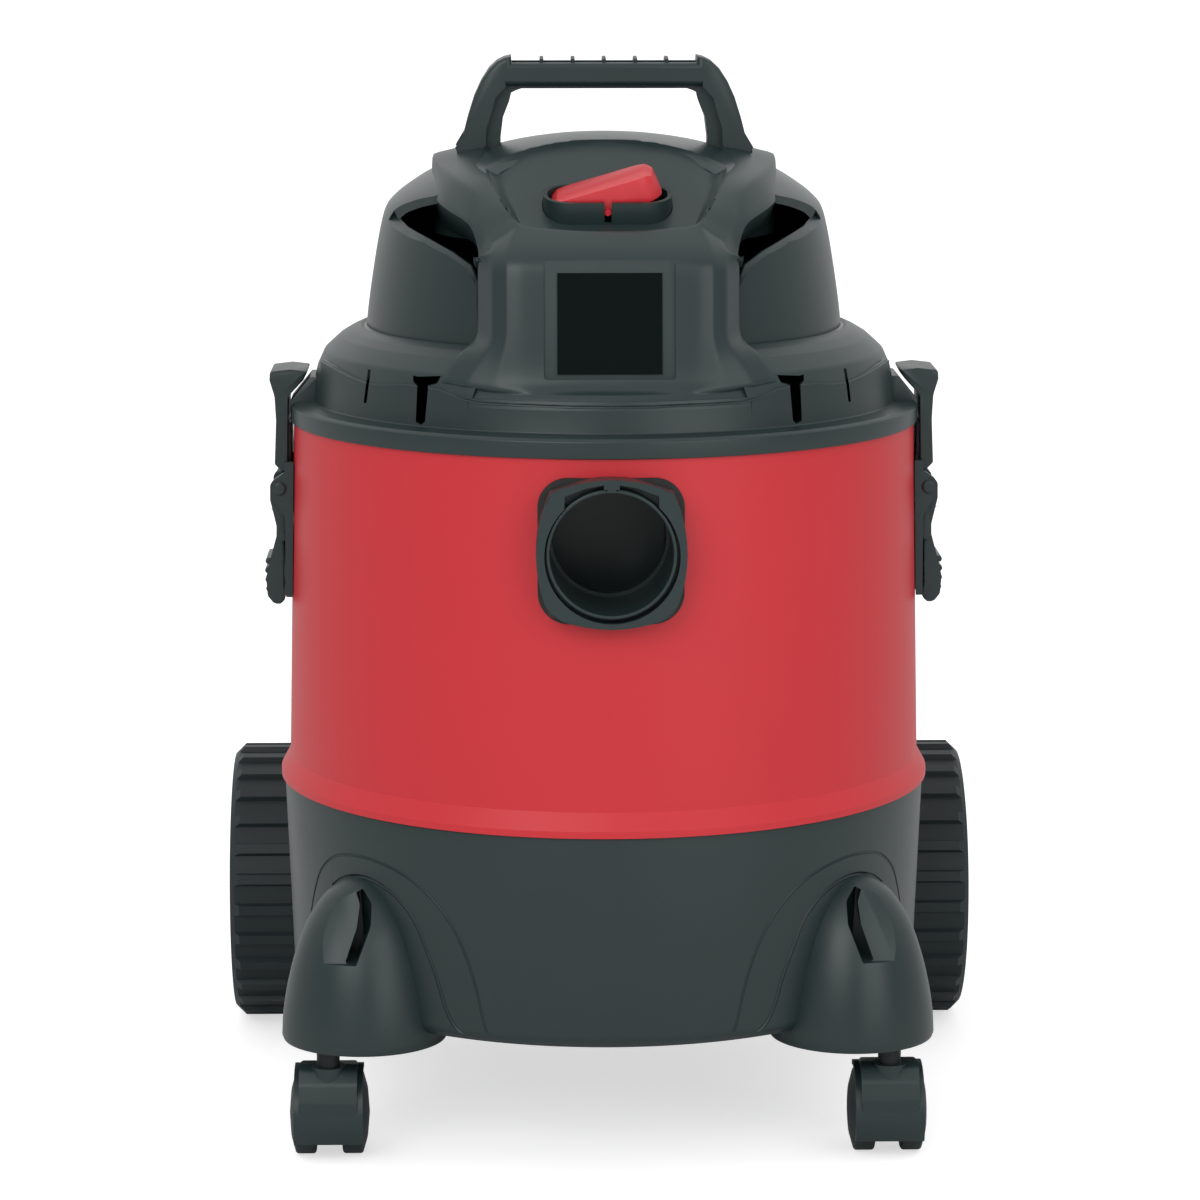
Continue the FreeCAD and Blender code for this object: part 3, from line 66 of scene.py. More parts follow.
# ---- materials -----------------------------------------------------------------------------
MOTTLE_SCALE = 22.0
SHEEN_SPREAD = 0.05
GRAIN_DEPTH = 0.0003


def plastic(name, colour, rough, grain, vary, grain_scale=900.0, shine=0.5, metallic=0.0):
    """Moulded finish: fine grain in relief, faint mottling of colour, uneven sheen."""
    material = bpy.data.materials.new(name)
    material.use_nodes = True
    nodes, links = material.node_tree.nodes, material.node_tree.links
    shader = nodes["Principled BSDF"]
    place = nodes.new("ShaderNodeTexCoord")
    broad = nodes.new("ShaderNodeTexNoise")
    broad.inputs["Scale"].default_value = MOTTLE_SCALE
    broad.inputs["Detail"].default_value = 5.0
    fine = nodes.new("ShaderNodeTexNoise")
    fine.inputs["Scale"].default_value = grain_scale
    fine.inputs["Detail"].default_value = 3.0
    tint = nodes.new("ShaderNodeMix")
    tint.data_type = "RGBA"
    tint.inputs["A"].default_value = (*[c * (1 - vary) for c in colour], 1)
    tint.inputs["B"].default_value = (*[min(c * (1 + vary), 1) for c in colour], 1)
    sheen = nodes.new("ShaderNodeMapRange")
    sheen.inputs["To Min"].default_value = rough - SHEEN_SPREAD
    sheen.inputs["To Max"].default_value = rough + SHEEN_SPREAD
    relief = nodes.new("ShaderNodeBump")
    relief.inputs["Strength"].default_value = grain
    relief.inputs["Distance"].default_value = GRAIN_DEPTH
    for texture in (broad, fine):
        links.new(place.outputs["Object"], texture.inputs["Vector"])
    links.new(broad.outputs["Fac"], tint.inputs["Factor"])
    links.new(broad.outputs["Fac"], sheen.inputs["Value"])
    links.new(fine.outputs["Fac"], relief.inputs["Height"])
    links.new(tint.outputs["Result"], shader.inputs["Base Color"])
    links.new(sheen.outputs["Result"], shader.inputs["Roughness"])
    links.new(relief.outputs["Normal"], shader.inputs["Normal"])
    shader.inputs["Specular IOR Level"].default_value = shine
    shader.inputs["Metallic"].default_value = metallic
    return material


DARK = (0.0165, 0.030, 0.030)
# slot: colour, roughness, depth of grain, mottling, and what else sets it apart
FINISHES = {
    "red_plastic": ((0.56, 0.026, 0.034), 0.42, 0.05, 0.03, dict(shine=0.35)),
    "dark_plastic": (DARK, 0.36, 0.06, 0.08, dict(shine=0.42)),
    "dark_gloss": (DARK, 0.30, 0.02, 0.06, dict(shine=0.46)),
    "badge_plastic": ((0.0025, 0.0055, 0.0055), 0.6, 0.08, 0.06, dict(shine=0.05)),
    "rocker_red": ((0.62, 0.030, 0.040), 0.30, 0.03, 0.03, {}),
    "wheel_plastic": ((0.017, 0.026, 0.028), 0.5, 0.2, 0.12, dict(shine=0.3)),
    "steel": ((0.60, 0.60, 0.58), 0.30, 0.05, 0.05, dict(metallic=1.0)),
    "dark_steel": ((0.035, 0.040, 0.040), 0.45, 0.08, 0.10, dict(metallic=1.0)),
    "rubber": ((0.012, 0.012, 0.012), 0.70, 0.25, 0.15, {}),
    "foam": ((0.035, 0.035, 0.037), 0.95, 0.9, 0.3, dict(grain_scale=700.0)),
    "light_plastic": ((0.55, 0.54, 0.50), 0.45, 0.08, 0.04, {}),
    "copper": ((0.62, 0.24, 0.10), 0.35, 0.4, 0.15, dict(metallic=1.0)),
    "carbon": ((0.03, 0.03, 0.03), 0.55, 0.2, 0.1, {}),
}
LOOK = {slot: plastic(slot, *values, **more) for slot, (*values, more) in FINISHES.items()}

for part in frame["record"]["subparts"]:
    solid = frame["nodes"][part["node"]]
    solid.data.materials.clear()
    solid.data.materials.append(LOOK[part["material_slot"]])


# ---- mesh tools ----------------------------------------------------------------------------
def mirrored(point):
    """The same point on the other side of the middle plane."""
    return (-point[0], *point[1:])


def obj_from(bm, name):
    """Object from a bmesh drawn in millimetres."""
    for vertex in bm.verts:
        vertex.co = metres(vertex.co)
    bmesh.ops.recalc_face_normals(bm, faces=bm.faces)
    mesh = bpy.data.meshes.new(name)
    bm.to_mesh(mesh)
    bm.free()
    made = bpy.data.objects.new(name, mesh)
    bpy.context.scene.collection.objects.link(made)
    return made


def rounded(corners, steps=6):
    """Points of a closed outline of (a, b) or (a, b, radius) corners."""
    points = []
    for i, corner in enumerate(corners):
        here = Vector(corner[:2])
        radius = corner[2] if len(corner) > 2 else 0
        if not radius:
            points.append(here)
            continue
        back = (Vector(corners[i - 1][:2]) - here).normalized()
        ahead = (Vector(corners[(i + 1) % len(corners)][:2]) - here).normalized()
        half = back.angle(ahead) / 2
        centre = here + (back + ahead).normalized() * radius / math.sin(half)
        start = here + back * radius / math.tan(half) - centre
        turn = (math.pi - 2 * half) * (1 if back.cross(ahead) < 0 else -1)
        for k in range(steps + 1):
            points.append(centre + Matrix.Rotation(turn * k / steps, 2) @ start)
    return points


def flowing(points, steps):
    """Catmull-Rom curve through the points."""
    ends = [2 * Vector(points[0]) - Vector(points[1])] + [Vector(p) for p in points]
    ends.append(2 * Vector(points[-1]) - Vector(points[-2]))
    curve = []
    for a, b, c, d in zip(ends, ends[1:], ends[2:], ends[3:]):
        for k in range(steps):
            t = k / steps
            curve.append(b + (c - a) * t / 2 + (a - b * 2.5 + c * 2 - d / 2) * t * t
                         + (b * 1.5 - a / 2 - c * 1.5 + d / 2) * t ** 3)
    return curve + [ends[-2]]


def walls(bm, rings):
    """Faces between neighbouring rings of vertices."""
    count = len(rings[0])
    for low, high in zip(rings, rings[1:]):
        for i in range(count):
            k = (i + 1) % count
            bm.faces.new((low[i], low[k], high[k], high[i]))


def loft(bm, rings):
    """Closed skin over rings of vertices, flat at both ends."""
    walls(bm, rings)
    bm.faces.new(rings[0])
    bm.faces.new(rings[-1])


DRAWN_IN = {
    "xz": lambda a, b, level: (a, level, b),
    "yz": lambda a, b, level: (level, a, b),
    "xy": lambda a, b, level: (a, b, level),
}


def slab(name, outline, plane, low, high, bevel=0.0, segments=3):
    """Closed outline in plane xz, yz or xy, drawn out from low to high, its rim edges rounded."""
    bm = bmesh.new()
    place = DRAWN_IN[plane]
    loops = [[bm.verts.new(place(p[0], p[1], level)) for p in outline] for level in (low, high)]
    ends = [bm.faces.new(loop) for loop in loops]
    walls(bm, loops)
    if bevel:
        rims = {edge for face in ends for edge in face.edges}
        bmesh.ops.bevel(bm, geom=list(rims), offset=bevel, segments=segments, profile=0.5,
                        affect="EDGES")
    return obj_from(bm, name)


TURNED_ABOUT = {
    "x": lambda u, v, height: (height, u, v),
    "y": lambda u, v, height: (u, height, v),
    "z": lambda u, v, height: (u, v, height),
}


def lathe(name, profile, steps, centre=(0, 0, 0), axis="z"):
    """Closed outline of (radius, height) turned about an axis through centre."""
    bm = bmesh.new()
    place = TURNED_ABOUT[axis]
    rings = []
    for k in range(steps):
        angle = 2 * math.pi * k / steps
        c, s = math.cos(angle), math.sin(angle)
        rings.append([bm.verts.new(Vector(centre) + Vector(place(r * c, r * s, h)))
                      for r, h in profile])
    for k in range(steps):
        here, there = rings[k], rings[(k + 1) % steps]
        for i in range(len(profile)):
            j = (i + 1) % len(profile)
            if profile[i][0] or profile[j][0]:
                bm.faces.new((here[i], here[j], there[j], there[i]))
    bmesh.ops.remove_doubles(bm, verts=bm.verts, dist=0.001)
    bmesh.ops.dissolve_degenerate(bm, edges=bm.edges, dist=0.0005)
    return obj_from(bm, name)


TUBE_SIDES = 8


def tube(name, points, radius):
    """Round bar along points, which lie on a surface round the drum's axis."""
    points = [Vector(p) for p in points]
    last = len(points) - 1
    bm = bmesh.new()
    rings = []
    for i, here in enumerate(points):
        along = (points[min(i + 1, last)] - points[max(i - 1, 0)]).normalized()
        side = along.cross(Vector((here.x, here.y, 0))).normalized()
        out = side.cross(along)
        ring = []
        for k in range(TUBE_SIDES):
            angle = 2 * math.pi * k / TUBE_SIDES
            off = (side * math.cos(angle) + out * math.sin(angle)) * radius
            ring.append(bm.verts.new(here + off))
        rings.append(ring)
    loft(bm, rings)
    return obj_from(bm, name)


def sheet(name, rows, creases):
    """Grid of points; creases are (row or column, index, sharpness)."""
    bm = bmesh.new()
    crease = bm.edges.layers.float.new("crease_edge")
    grid = [[bm.verts.new(p) for p in row] for row in rows]
    for i in range(len(grid) - 1):
        for j in range(len(grid[0]) - 1):
            bm.faces.new((grid[i][j], grid[i][j + 1], grid[i + 1][j + 1], grid[i + 1][j]))
    for kind, index, amount in creases:
        if kind == "column":
            line = [row[index] for row in grid]
        else:
            line = grid[index]
        for a, b in zip(line, line[1:]):
            edge = bm.edges.get((a, b))
            if edge:
                edge[crease] = amount
    return obj_from(bm, name)


def baked(obj):
    """Applies the object's modifiers."""
    graph = bpy.context.evaluated_depsgraph_get()
    mesh = bpy.data.meshes.new_from_object(obj.evaluated_get(graph))
    obj.modifiers.clear()
    obj.data = mesh
    return obj


def combine(target, others, operation="UNION"):
    """Boolean of target with each of others, which are used up."""
    for other in others:
        step = target.modifiers.new("cut", "BOOLEAN")
        step.operation = operation
        step.solver = "MANIFOLD"
        step.object = other
        baked(target)
        bpy.data.objects.remove(other)
    return target


def smooth_wall(obj, levels, thickness):
    """Subdivides a sheet and gives it a wall of thickness behind its face."""
    step = obj.modifiers.new("smooth", "SUBSURF")
    step.levels = step.render_levels = levels
    wall = obj.modifiers.new("wall", "SOLIDIFY")
    wall.thickness = thickness / MM
    wall.offset = -1.0
    return baked(obj)


def polish(obj, angle):
    """Smooth faces, sharp only where the surface turns by more than angle."""
    bm = bmesh.new()
    bm.from_mesh(obj.data)
    for face in bm.faces:
        face.smooth = True
    for edge in bm.edges:
        edge.smooth = len(edge.link_faces) == 2 and edge.calc_face_angle(0) < math.radians(angle)
    bm.to_mesh(obj.data)
    bm.free()


def finished(obj, slot, body, *nodes, angle=32.0):
    """Gives a piece its finish, its body and the CAD nodes it stands for."""
    polish(obj, angle)
    obj.data.materials.clear()
    obj.data.materials.append(LOOK[slot])
    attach(obj, body)
    if nodes:
        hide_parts(*nodes)


# ---- console, its shoulders and the handle -------------------------------------------------
WALL = 2.6  # of the head's shells
DOME_FOOT = 388.0
DOME_PROFILE = [(0, 484), (24, 482.8), (48, 478.9), (70, 472.3), (85, 465.5), (95.4, 459),
                (102.2, 453.6), (106.8, 447.6), (109.9, 435.8), (113, 418), (115.6, 400),
                (116.8, 388)]


def dome_height(x, y):
    """Height of the dome's outside over a point of its plan."""
    reach = math.hypot(x, y)
    for (r0, z0), (r1, z1) in zip(DOME_PROFILE, DOME_PROFILE[1:]):
        if r0 <= reach <= r1:
            return z0 + (z1 - z0) * (reach - r0) / (r1 - r0)
    return DOME_FOOT


# the switch bowl's floor: its front end, how high it is there, and its rise to the back
BOWL_Y, BOWL_Z, BOWL_RISE = -89.9, 446.3, 0.6346
BOWL_LOWEST = 441.5
FLOOR_X = (0, -14, -28, -42)
OVER_DOME, UNDER_DOME = 0.25, 1.2  # the sheet's distance to the dome, in the bowl and behind it
CROWN_AHEAD = 14  # behind the bowl the middle of a row runs this far ahead of its top edge


def bowl_height(y):
    """Floor of the switch bowl."""
    return BOWL_Z + BOWL_RISE * (y - BOWL_Y)


def over_bowl(y):
    """Points between the middle and the bowl's side at one station, never far over the dome."""
    floor = max(bowl_height(y), BOWL_LOWEST)
    return [(x, y, min(floor, dome_height(x, y) + OVER_DOME)) for x in FLOOR_X]


def under_dome(y):
    """The same points tucked under the dome's crown, behind the bowl."""
    return [(x, y, dome_height(x, y) - UNDER_DOME) for x in FLOOR_X]


# left shoulder, one station per row, from behind the handle to the front of the bowl:
# foot of the bowl's side, top edge, ridge, under edge, tuck into the dome
SHOULDER = [
    ((-50, 46, 462), (-57, 44, 463), (-70, 41, 457), (-76, 38, 449), (-72, 34, 436)),
    ((-50, 36, 468), (-58, 36, 471), (-76, 34, 465), (-81.5, 32, 455), (-76, 28, 438)),
    ((-52, 18, 473), (-60, 16, 478), (-83.4, 15, 473.0), (-84.5, 15, 457.5), (-80, 12, 440)),
    ((-52, 0, 474), (-60, 0, 479.5), (-84.0, 0, 473.4), (-84.6, 0, 457.5), (-81, 0, 440)),
    ((-53, -14, 474), (-59.8, -14, 477.5), (-83.4, -13, 472.2), (-84.4, -24, 456.5),
     (-80, -22, 440)),
    ((-54, -28, 471), (-59.2, -29, 473.6), (-81.0, -28, 470.0), (-82.8, -45, 456.8),
     (-77, -38, 440)),
    ((-53, -45, 468.5), (-57.6, -46, 470.2), (-76.2, -47, 467.4), (-81.2, -61, 455.0),
     (-73, -50, 440)),
    ((-50.5, -60, 464.6), (-55.8, -61, 467.2), (-70.4, -61.6, 464.6), (-76.4, -73, 451.7),
     (-69, -60, 438)),
    ((-47, -72, 458.5), (-53.2, -74, 462.2), (-64.2, -72.4, 461.4), (-68.0, -85, 448.2),
     (-63, -70, 436)),
    ((-44, -82, 451.5), (-51.0, -84, 457.3), (-61.0, -79, 457.7), (-64.6, -89, 445.2),
     (-60, -74, 432)),
    ((-41, -92, 445.5), (-47.9, -92, 453.4), (-58.4, -89, 451.6), (-62.4, -93.5, 440.0),
     (-58, -78, 428)),
]
# where each of those rows crosses the bowl's floor; behind the bowl it stays under the dome
BOWL_STATIONS = [None, None, None, None, None, -31, -43, -58, -70, -80, -90]
# rows over the console's front edge, each from the middle outwards
BROW = [
    [(0, -99, 441.0), (-14, -99, 441.0), (-28, -97.5, 441.2), (-38, -96, 443), (-41, -94.5, 446.5),
     (-44.6, -97, 450.0), (-56.2, -96.5, 444.8), (-61.0, -97, 433.5), (-57, -80, 424)],
    [(0, -103.8, 443.2), (-14, -103.4, 443.3), (-28, -101.8, 444), (-37, -99.5, 446),
     (-40, -98.6, 447.5), (-43.8, -99.8, 448.6), (-55.2, -100.5, 441.5), (-61.0, -98.5, 431),
     (-57, -81, 422)],
    [(0, -105.8, 444.5), (-14, -105.4, 444.6), (-28, -103.6, 445.6), (-36, -102.2, 446.4),
     (-39.5, -102, 446.5), (-43.0, -102.8, 446.2), (-54.6, -104, 438.5), (-61.1, -100, 428),
     (-57.5, -82, 420)],
]
# rows of the upright panel: its z and y, y where it turns into the flank, the flank's y and x
PANEL = [
    (437.5, -117.0, -115.0, -109.5, -61.2),
    (431.0, -122.3, -120.5, -103.0, -61.4),
    (425.0, -123.4, -122.0, -104.0, -61.5),
    (403.3, -126.4, -125.0, -105.5, -61.6),
    (396.0, -127.4, -126.0, -107.0, -62.0),
]
# rows of the panel's foot, spreading on to the lid
SKIRT = [
    [(0, -128.9, 385), (-14, -128.9, 385), (-28, -128.8, 385), (-38, -128.6, 385),
     (-43, -128.2, 385), (-50, -127, 386), (-59, -122.5, 388), (-69.5, -114, 390), (-66, -90, 386)],
    [(0, -131.0, 376.5), (-14, -131.0, 376.5), (-28, -130.6, 376.5), (-38, -130, 376.5),
     (-43, -129.5, 377), (-52, -127.8, 377.5), (-66, -122.8, 378), (-77.5, -114.5, 378.5),
     (-72, -92, 378)],
    [(0, -134.2, 372.6), (-14, -134.1, 372.6), (-28, -133.4, 372.6), (-38, -132.4, 372.8),
     (-43, -131.8, 373), (-53, -129.5, 373.5), (-67, -124.0, 374), (-78.5, -116.5, 375),
     (-73, -94, 375)],
]
# rows of the hem on the lid's rim: height over it and how far out it stands
HEM = [(5.2, -2.2), (1.6, 0.4), (-4.0, 0.6)]
HEM_X = (0, -14, -28, -38, -43, -54, -68, -79, -74)
HEM_R, HEM_Z = 140.6, 366.0


def console_rows():
    """Left half of the console's sheet, each row from the middle outwards."""
    rows = []
    for y, side in zip(BOWL_STATIONS, SHOULDER):
        middle = under_dome(side[1][1] - CROWN_AHEAD) if y is None else over_bowl(y)
        rows.append(middle + list(side))
    rows += BROW
    for z, y, side_y, edge_y, edge_x in PANEL:
        rows.append([(0, y, z), (-14, y, z), (-28, y, z), (-38, y + 0.1, z), (-43, y + 0.3, z),
                     (-48, side_y, z), (-54.4, side_y + 4.4, z - 1.5), (edge_x, edge_y, z - 2.5),
                     (-58, -84, z - 4)])
    rows += SKIRT
    for lift, grow in HEM:
        row = []
        for x in HEM_X:
            reach = HEM_R + grow - (0 if x > -79 else 2)
            z = HEM_Z + lift + (0 if x > -60 else 1.2)
            row.append((x, -math.sqrt(reach ** 2 - x ** 2), z))
        row[-1] = (-74, -98, row[-1][2])
        rows.append(row)
    return rows


PANEL_MIDDLE = Vector((0, -126.4, 403.3))
PANEL_LEAN = Matrix.Rotation(-math.atan2(8.0, 58.0), 3, "X")
SWITCH_MIDDLE = Vector((0, -78.3, 459.5))
SWITCH_LEAN = Matrix.Rotation(math.radians(14.0), 3, "X")


def on_panel(point):
    """A point drawn on the upright panel, moved to its lean."""
    return PANEL_LEAN @ Vector(point) + PANEL_MIDDLE


def on_bowl(point):
    """A point drawn flat round the switch, moved to the slope of its bowl."""
    return SWITCH_LEAN @ Vector(point) + SWITCH_MIDDLE


def placed(obj, place):
    """Moves a piece drawn round the origin by a function of its points."""
    for vertex in obj.data.vertices:
        vertex.co = metres(place(millimetres(vertex.co)))
    obj.data.update()
    return obj


def racetrack(half_x, half_y, radius):
    """Outline of the switch and what surrounds it: a rectangle with round corners."""
    return rounded([(-half_x, -half_y, radius), (half_x, -half_y, radius),
                    (half_x, half_y, radius), (-half_x, half_y, radius)], 10)


# handle seen from the front, left half: a rail's outside and inside, the thinner frame's same
RAIL_OUTSIDE = [(-74.5, 470), (-70.4, 476), (-68.4, 484), (-66.3, 492), (-63.3, 501.5),
                (-59.6, 509.5), (-55.9, 515.2), (-52.1, 518.7), (-48.6, 520.4), (-45.2, 521.2)]
RAIL_INSIDE = [(-44.9, 515), (-46.6, 511.5), (-49.8, 508.0), (-52.9, 501.0), (-54.8, 494.0),
               (-57.4, 486.0), (-60.0, 478.5), (-60.5, 470)]
FRAME_OUTSIDE = [(-66, 470), (-64, 484), (-58.5, 502), (-53, 512), (-47, 516.6)]
FRAME_INSIDE = [(-50.4, 470), (-50.4, 482), (-49.2, 491.6), (-47.3, 499.8)]
FRAME_CORNER = [(45.2, 503.4), (43.4, 505.6), (40.4, 506.6)]
GRIP_SECTION = [(-13, 508.2, 3.0), (-10.6, 506.6, 2.0), (10.6, 506.6, 2.0), (13, 508.2, 3.0),
                (13, 517.2, 3.4), (11, 518.2, 1.5), (-11, 517.8, 2.5), (-13, 517.0, 3.0)]
RIB_SECTION = [(-8.5, 512), (8.5, 512), (8.5, 519.6), (5, 520.6), (-5, 520.6), (-8.5, 519.6)]
RIB_PITCH = 15.2
RIB_HALF = 0.9
FRAME_HALF, RAIL_HALF = 7.5, 13  # half their depths from front to back
GRIP_HALF = 49
CHANNEL_HALF, CHANNEL_FLOOR = 44.9, 513
ABOVE_ALL = 530


def build_handle():
    """Two outer rails, the thinner frame between them, and the grip with ribs in its channel."""
    def across(line):
        return [mirrored(p) for p in line]

    frame_line = FRAME_OUTSIDE + across(FRAME_OUTSIDE[::-1])
    frame_line += across(FRAME_INSIDE) + FRAME_CORNER
    frame_line += across(FRAME_CORNER[::-1]) + FRAME_INSIDE[::-1]
    rail = RAIL_OUTSIDE + RAIL_INSIDE
    handle = slab("frame_line", frame_line, "xz", -FRAME_HALF, FRAME_HALF, 1.2)
    rails = [slab("rail", line, "xz", -RAIL_HALF, RAIL_HALF, 2.4, 4)
             for line in (rail, across(rail))]
    grip = slab("grip", rounded(GRIP_SECTION), "yz", -GRIP_HALF, GRIP_HALF)
    channel_line = [(-FRAME_HALF, CHANNEL_FLOOR), (FRAME_HALF, CHANNEL_FLOOR),
                    (FRAME_HALF, ABOVE_ALL), (-FRAME_HALF, ABOVE_ALL)]
    channel = slab("channel", channel_line, "yz", -CHANNEL_HALF, CHANNEL_HALF)
    ribs = [slab("rib", RIB_SECTION, "yz", x - RIB_HALF, x + RIB_HALF, 0.25, 1)
            for x in (RIB_PITCH * k for k in range(-2, 3))]
    combine(handle, rails + [grip])
    combine(handle, [channel], "DIFFERENCE")
    return combine(handle, ribs)


# sharpness of the sheet's edges, by column from the middle and by row from the back
CREASED_COLUMNS = ((5, 0.55), (6, 0.72), (7, 0.75))
CREASED_ROWS = (("row", 13, 0.5), ("row", 22, 0.6))
# bare recess in the panel, drawn round its middle
RECESS = [(-30.6, -26, 1.5), (30.6, -26, 1.5), (30.6, 33, 5), (-30.6, 33, 5)]
RECESS_DEPTH = 1.3


def build_console():
    """Console and handle in one, open under the dome, with the switch's hole and the recess."""
    rows = [row[::-1] + [mirrored(p) for p in row[1:]] for row in console_rows()]
    middle = len(rows[0]) // 2
    creases = [("column", middle + turn * index, amount)
               for index, amount in CREASED_COLUMNS for turn in (-1, 1)]
    shell = smooth_wall(sheet("console", rows, creases + list(CREASED_ROWS)), 3, WALL)
    hole = placed(slab("hole", racetrack(30.8, 14.8, 13.2), "xy", -30, 25), on_bowl)
    combine(shell, [hole], "DIFFERENCE")
    recess = placed(slab("recess", rounded(RECESS), "xz", -12, RECESS_DEPTH), on_panel)
    combine(shell, [recess], "DIFFERENCE")
    return combine(shell, [build_handle()])


finished(build_console(), "dark_plastic", "head", "console_handle")


# ---- motor dome with its two air outlets ---------------------------------------------------
# outline of the left outlet on the dome, from its tip over the top, behind the console and back
OUTLET = [(-104.5, -27, 443.4), (-102, -31, 448.1), (-93.7, -42, 453.6), (-83.6, -53, 456.7),
          (-66, -66, 457), (-50, -80, 450), (-44, -98, 430), (-50, -104, 402), (-60.4, -100, 396.6),
          (-62.9, -98, 401.1), (-64.1, -96.6, 408.9), (-65, -95.4, 416.5), (-68.6, -90.6, 424.7),
          (-77.0, -82, 429.8), (-88.6, -67.5, 434.8), (-98.9, -47.5, 438.7)]
# the cutter's rings, from outside the shell to inside: lift off it and shift into the opening
OUTLET_RINGS = ((9, -7), (0, 0), (-3.4, 3.4), (-16, 3.6))
CROWN_Z = 446.0  # over this height the dome faces mostly up
UNDER_FLOOR = 2.2  # the dome is cut away to this far under the bowl's floor


def outlet_cutter(side):
    """Loft through the shell whose rim slopes in, so that the opening has a bevelled edge."""
    points = [Vector((p[0] * side, p[1], p[2])) for p in OUTLET]
    bm = bmesh.new()
    rings = [[] for _ in OUTLET_RINGS]
    for i, here in enumerate(points):
        out = Vector((here.x, here.y, 60 if here.z > CROWN_Z else 12)).normalized()
        along = (points[(i + 1) % len(points)] - points[i - 1]).normalized()
        inward = out.cross(along).normalized() * side * -1
        for ring, (lift, shift) in zip(rings, OUTLET_RINGS):
            ring.append(bm.verts.new(here + out * lift + inward * shift))
    loft(bm, rings)
    bmesh.ops.triangulate(bm, faces=[f for f in bm.faces if len(f.verts) > 4])
    return obj_from(bm, "outlet")


def bowl_cutter():
    """Everything from just under the floor of the switch bowl up, between its two sides."""
    plan = [(-58, -27), (-58, -46), (-57, -61), (-54, -74), (-50, -84), (-46, -92), (-42, -125)]
    plan += [mirrored(p) for p in reversed(plan)]
    bm = bmesh.new()
    low = [bm.verts.new((x, y, bowl_height(y) - UNDER_FLOOR)) for x, y in plan]
    high = [bm.verts.new((x, y, ABOVE_ALL)) for x, y in plan]
    loft(bm, [low, high])
    return obj_from(bm, "bowl")


# cooling slots at the back of the dome
SLOT_HEIGHTS = (428, 435, 442)
SLOT_HALF, SLOT_HIGH, SLOT_ROUND = 40, 3.5, 1.7
LIP_SECTION = [(115.5, 387.2, 0.6), (118.6, 387.2, 0.8), (118.6, 389.6, 0.8), (115.5, 390.4, 0.6)]


def build_dome():
    """Dome with both outlets, room for the switch bowl, three slots at the back and a lip."""
    outer = flowing(DOME_PROFILE, 4)
    inner = [Vector((max(p[0] - WALL * min(1, p[0] / 60), 0), p[1] - WALL * 0.9))
             for p in outer]
    inner[-1].y = outer[-1].y
    shell = lathe("dome", outer + inner[::-1], 192)
    slots = []
    for z in SLOT_HEIGHTS:
        line = [(-SLOT_HALF, z, SLOT_ROUND), (SLOT_HALF, z, SLOT_ROUND),
                (SLOT_HALF, z + SLOT_HIGH, SLOT_ROUND), (-SLOT_HALF, z + SLOT_HIGH, SLOT_ROUND)]
        slots.append(slab("slot", rounded(line, 4), "xz", 60, 130))
    combine(shell, [outlet_cutter(-1), outlet_cutter(1)] + slots + [bowl_cutter()], "DIFFERENCE")
    return combine(shell, [lathe("dome_lip", rounded(LIP_SECTION, 3), 192)])


finished(build_dome(), "dark_gloss", "head", "dome", angle=28)


# ---- lid -----------------------------------------------------------------------------------
LID_SECTION = [(119.6, 390.6, 0.8), (124.5, 388.4, 4), (129.8, 385.2, 5), (137.3, 378.4, 6),
               (140.8, 370.6, 6), (142.2, 364.5, 3), (142.9, 353.6, 0.8), (152.9, 353.0, 1.2),
               (154.5, 351.6, 1.2), (154.5, 343.6, 0.5), (153.1, 343.6), (153.1, 345.1),
               (149.7, 345.1), (149.7, 334.6, 0.8), (147.2, 334.6, 0.8), (147.2, 349),
               (22, 349, 0.6), (22, 352, 0.6), (139.4, 352), (139.0, 365), (137.6, 370),
               (134.8, 376.2), (128.2, 382.2), (116.6, 386.4), (116.6, 388.6)]
# the slits that free the tab beside the console: a narrow one, a wide one and its hooked top
NARROW_SLIT = [(-113.7, 376.6), (-112.3, 376.6), (-114.4, 361.2), (-115.8, 361.2)]
WIDE_SLIT = [(-86.4, 376.0), (-84.6, 372.0), (-86.2, 356.0), (-88.0, 354.4), (-90.6, 355.6),
             (-89.8, 372.4), (-91.8, 373.8), (-91.8, 376.6)]
SLIT_HOOK = rounded([(-89.0, 371.2), (-80.4, 374.0, 1.5), (-78.6, 377.6), (-89.0, 376.4)], 3)


def lid_slits(side):
    """Cutters for the slits on one side; the drawings show the left one."""
    return [slab("slit", [(p[0] * side, p[1]) for p in line], "xz", -140, -76)
            for line in (NARROW_SLIT, WIDE_SLIT, SLIT_HOOK)]


def keeper(side):
    """Sloped gusset that the latch pulls on."""
    line = [(137, 350.6), (154, 350.6), (154, 353.6), (144.4, 365.4), (137, 365.4)]
    return slab("keeper", [(p[0] * side, p[1]) for p in line], "xz", -16, 16, 0.6, 2)


CONSOLE_HALF = 64
# top edge of the lid's band, from the left latch to the middle of the front
BAND_TOP = [(-137.8, -34, 376.0), (-132.3, -51.6, 375.2), (-122.5, -71.8, 372.8),
            (-113.6, -85.2, 371.2), (-105.5, -95.0, 371.6), (-98.0, -102.8, 373.0),
            (-88.5, -111.1, 373.2), (-79.0, -118.0, 372.1), (-70.6, -123.2, 368.4),
            (-61.0, -128.2, 366.7), (-45.0, -134.7, 366.6), (-20.0, -140.6, 366.3),
            (0.0, -142.0, 366.2)]


def band_line():
    """The band's top edge from left to right, each stretch in four."""
    path = [Vector(p) for p in BAND_TOP]
    path += [Vector(mirrored(p)) for p in reversed(path[:-1])]
    found = [path[i - 1].lerp(path[i], k / 4) for i in range(1, len(path)) for k in range(4)]
    return found + [path[-1]]


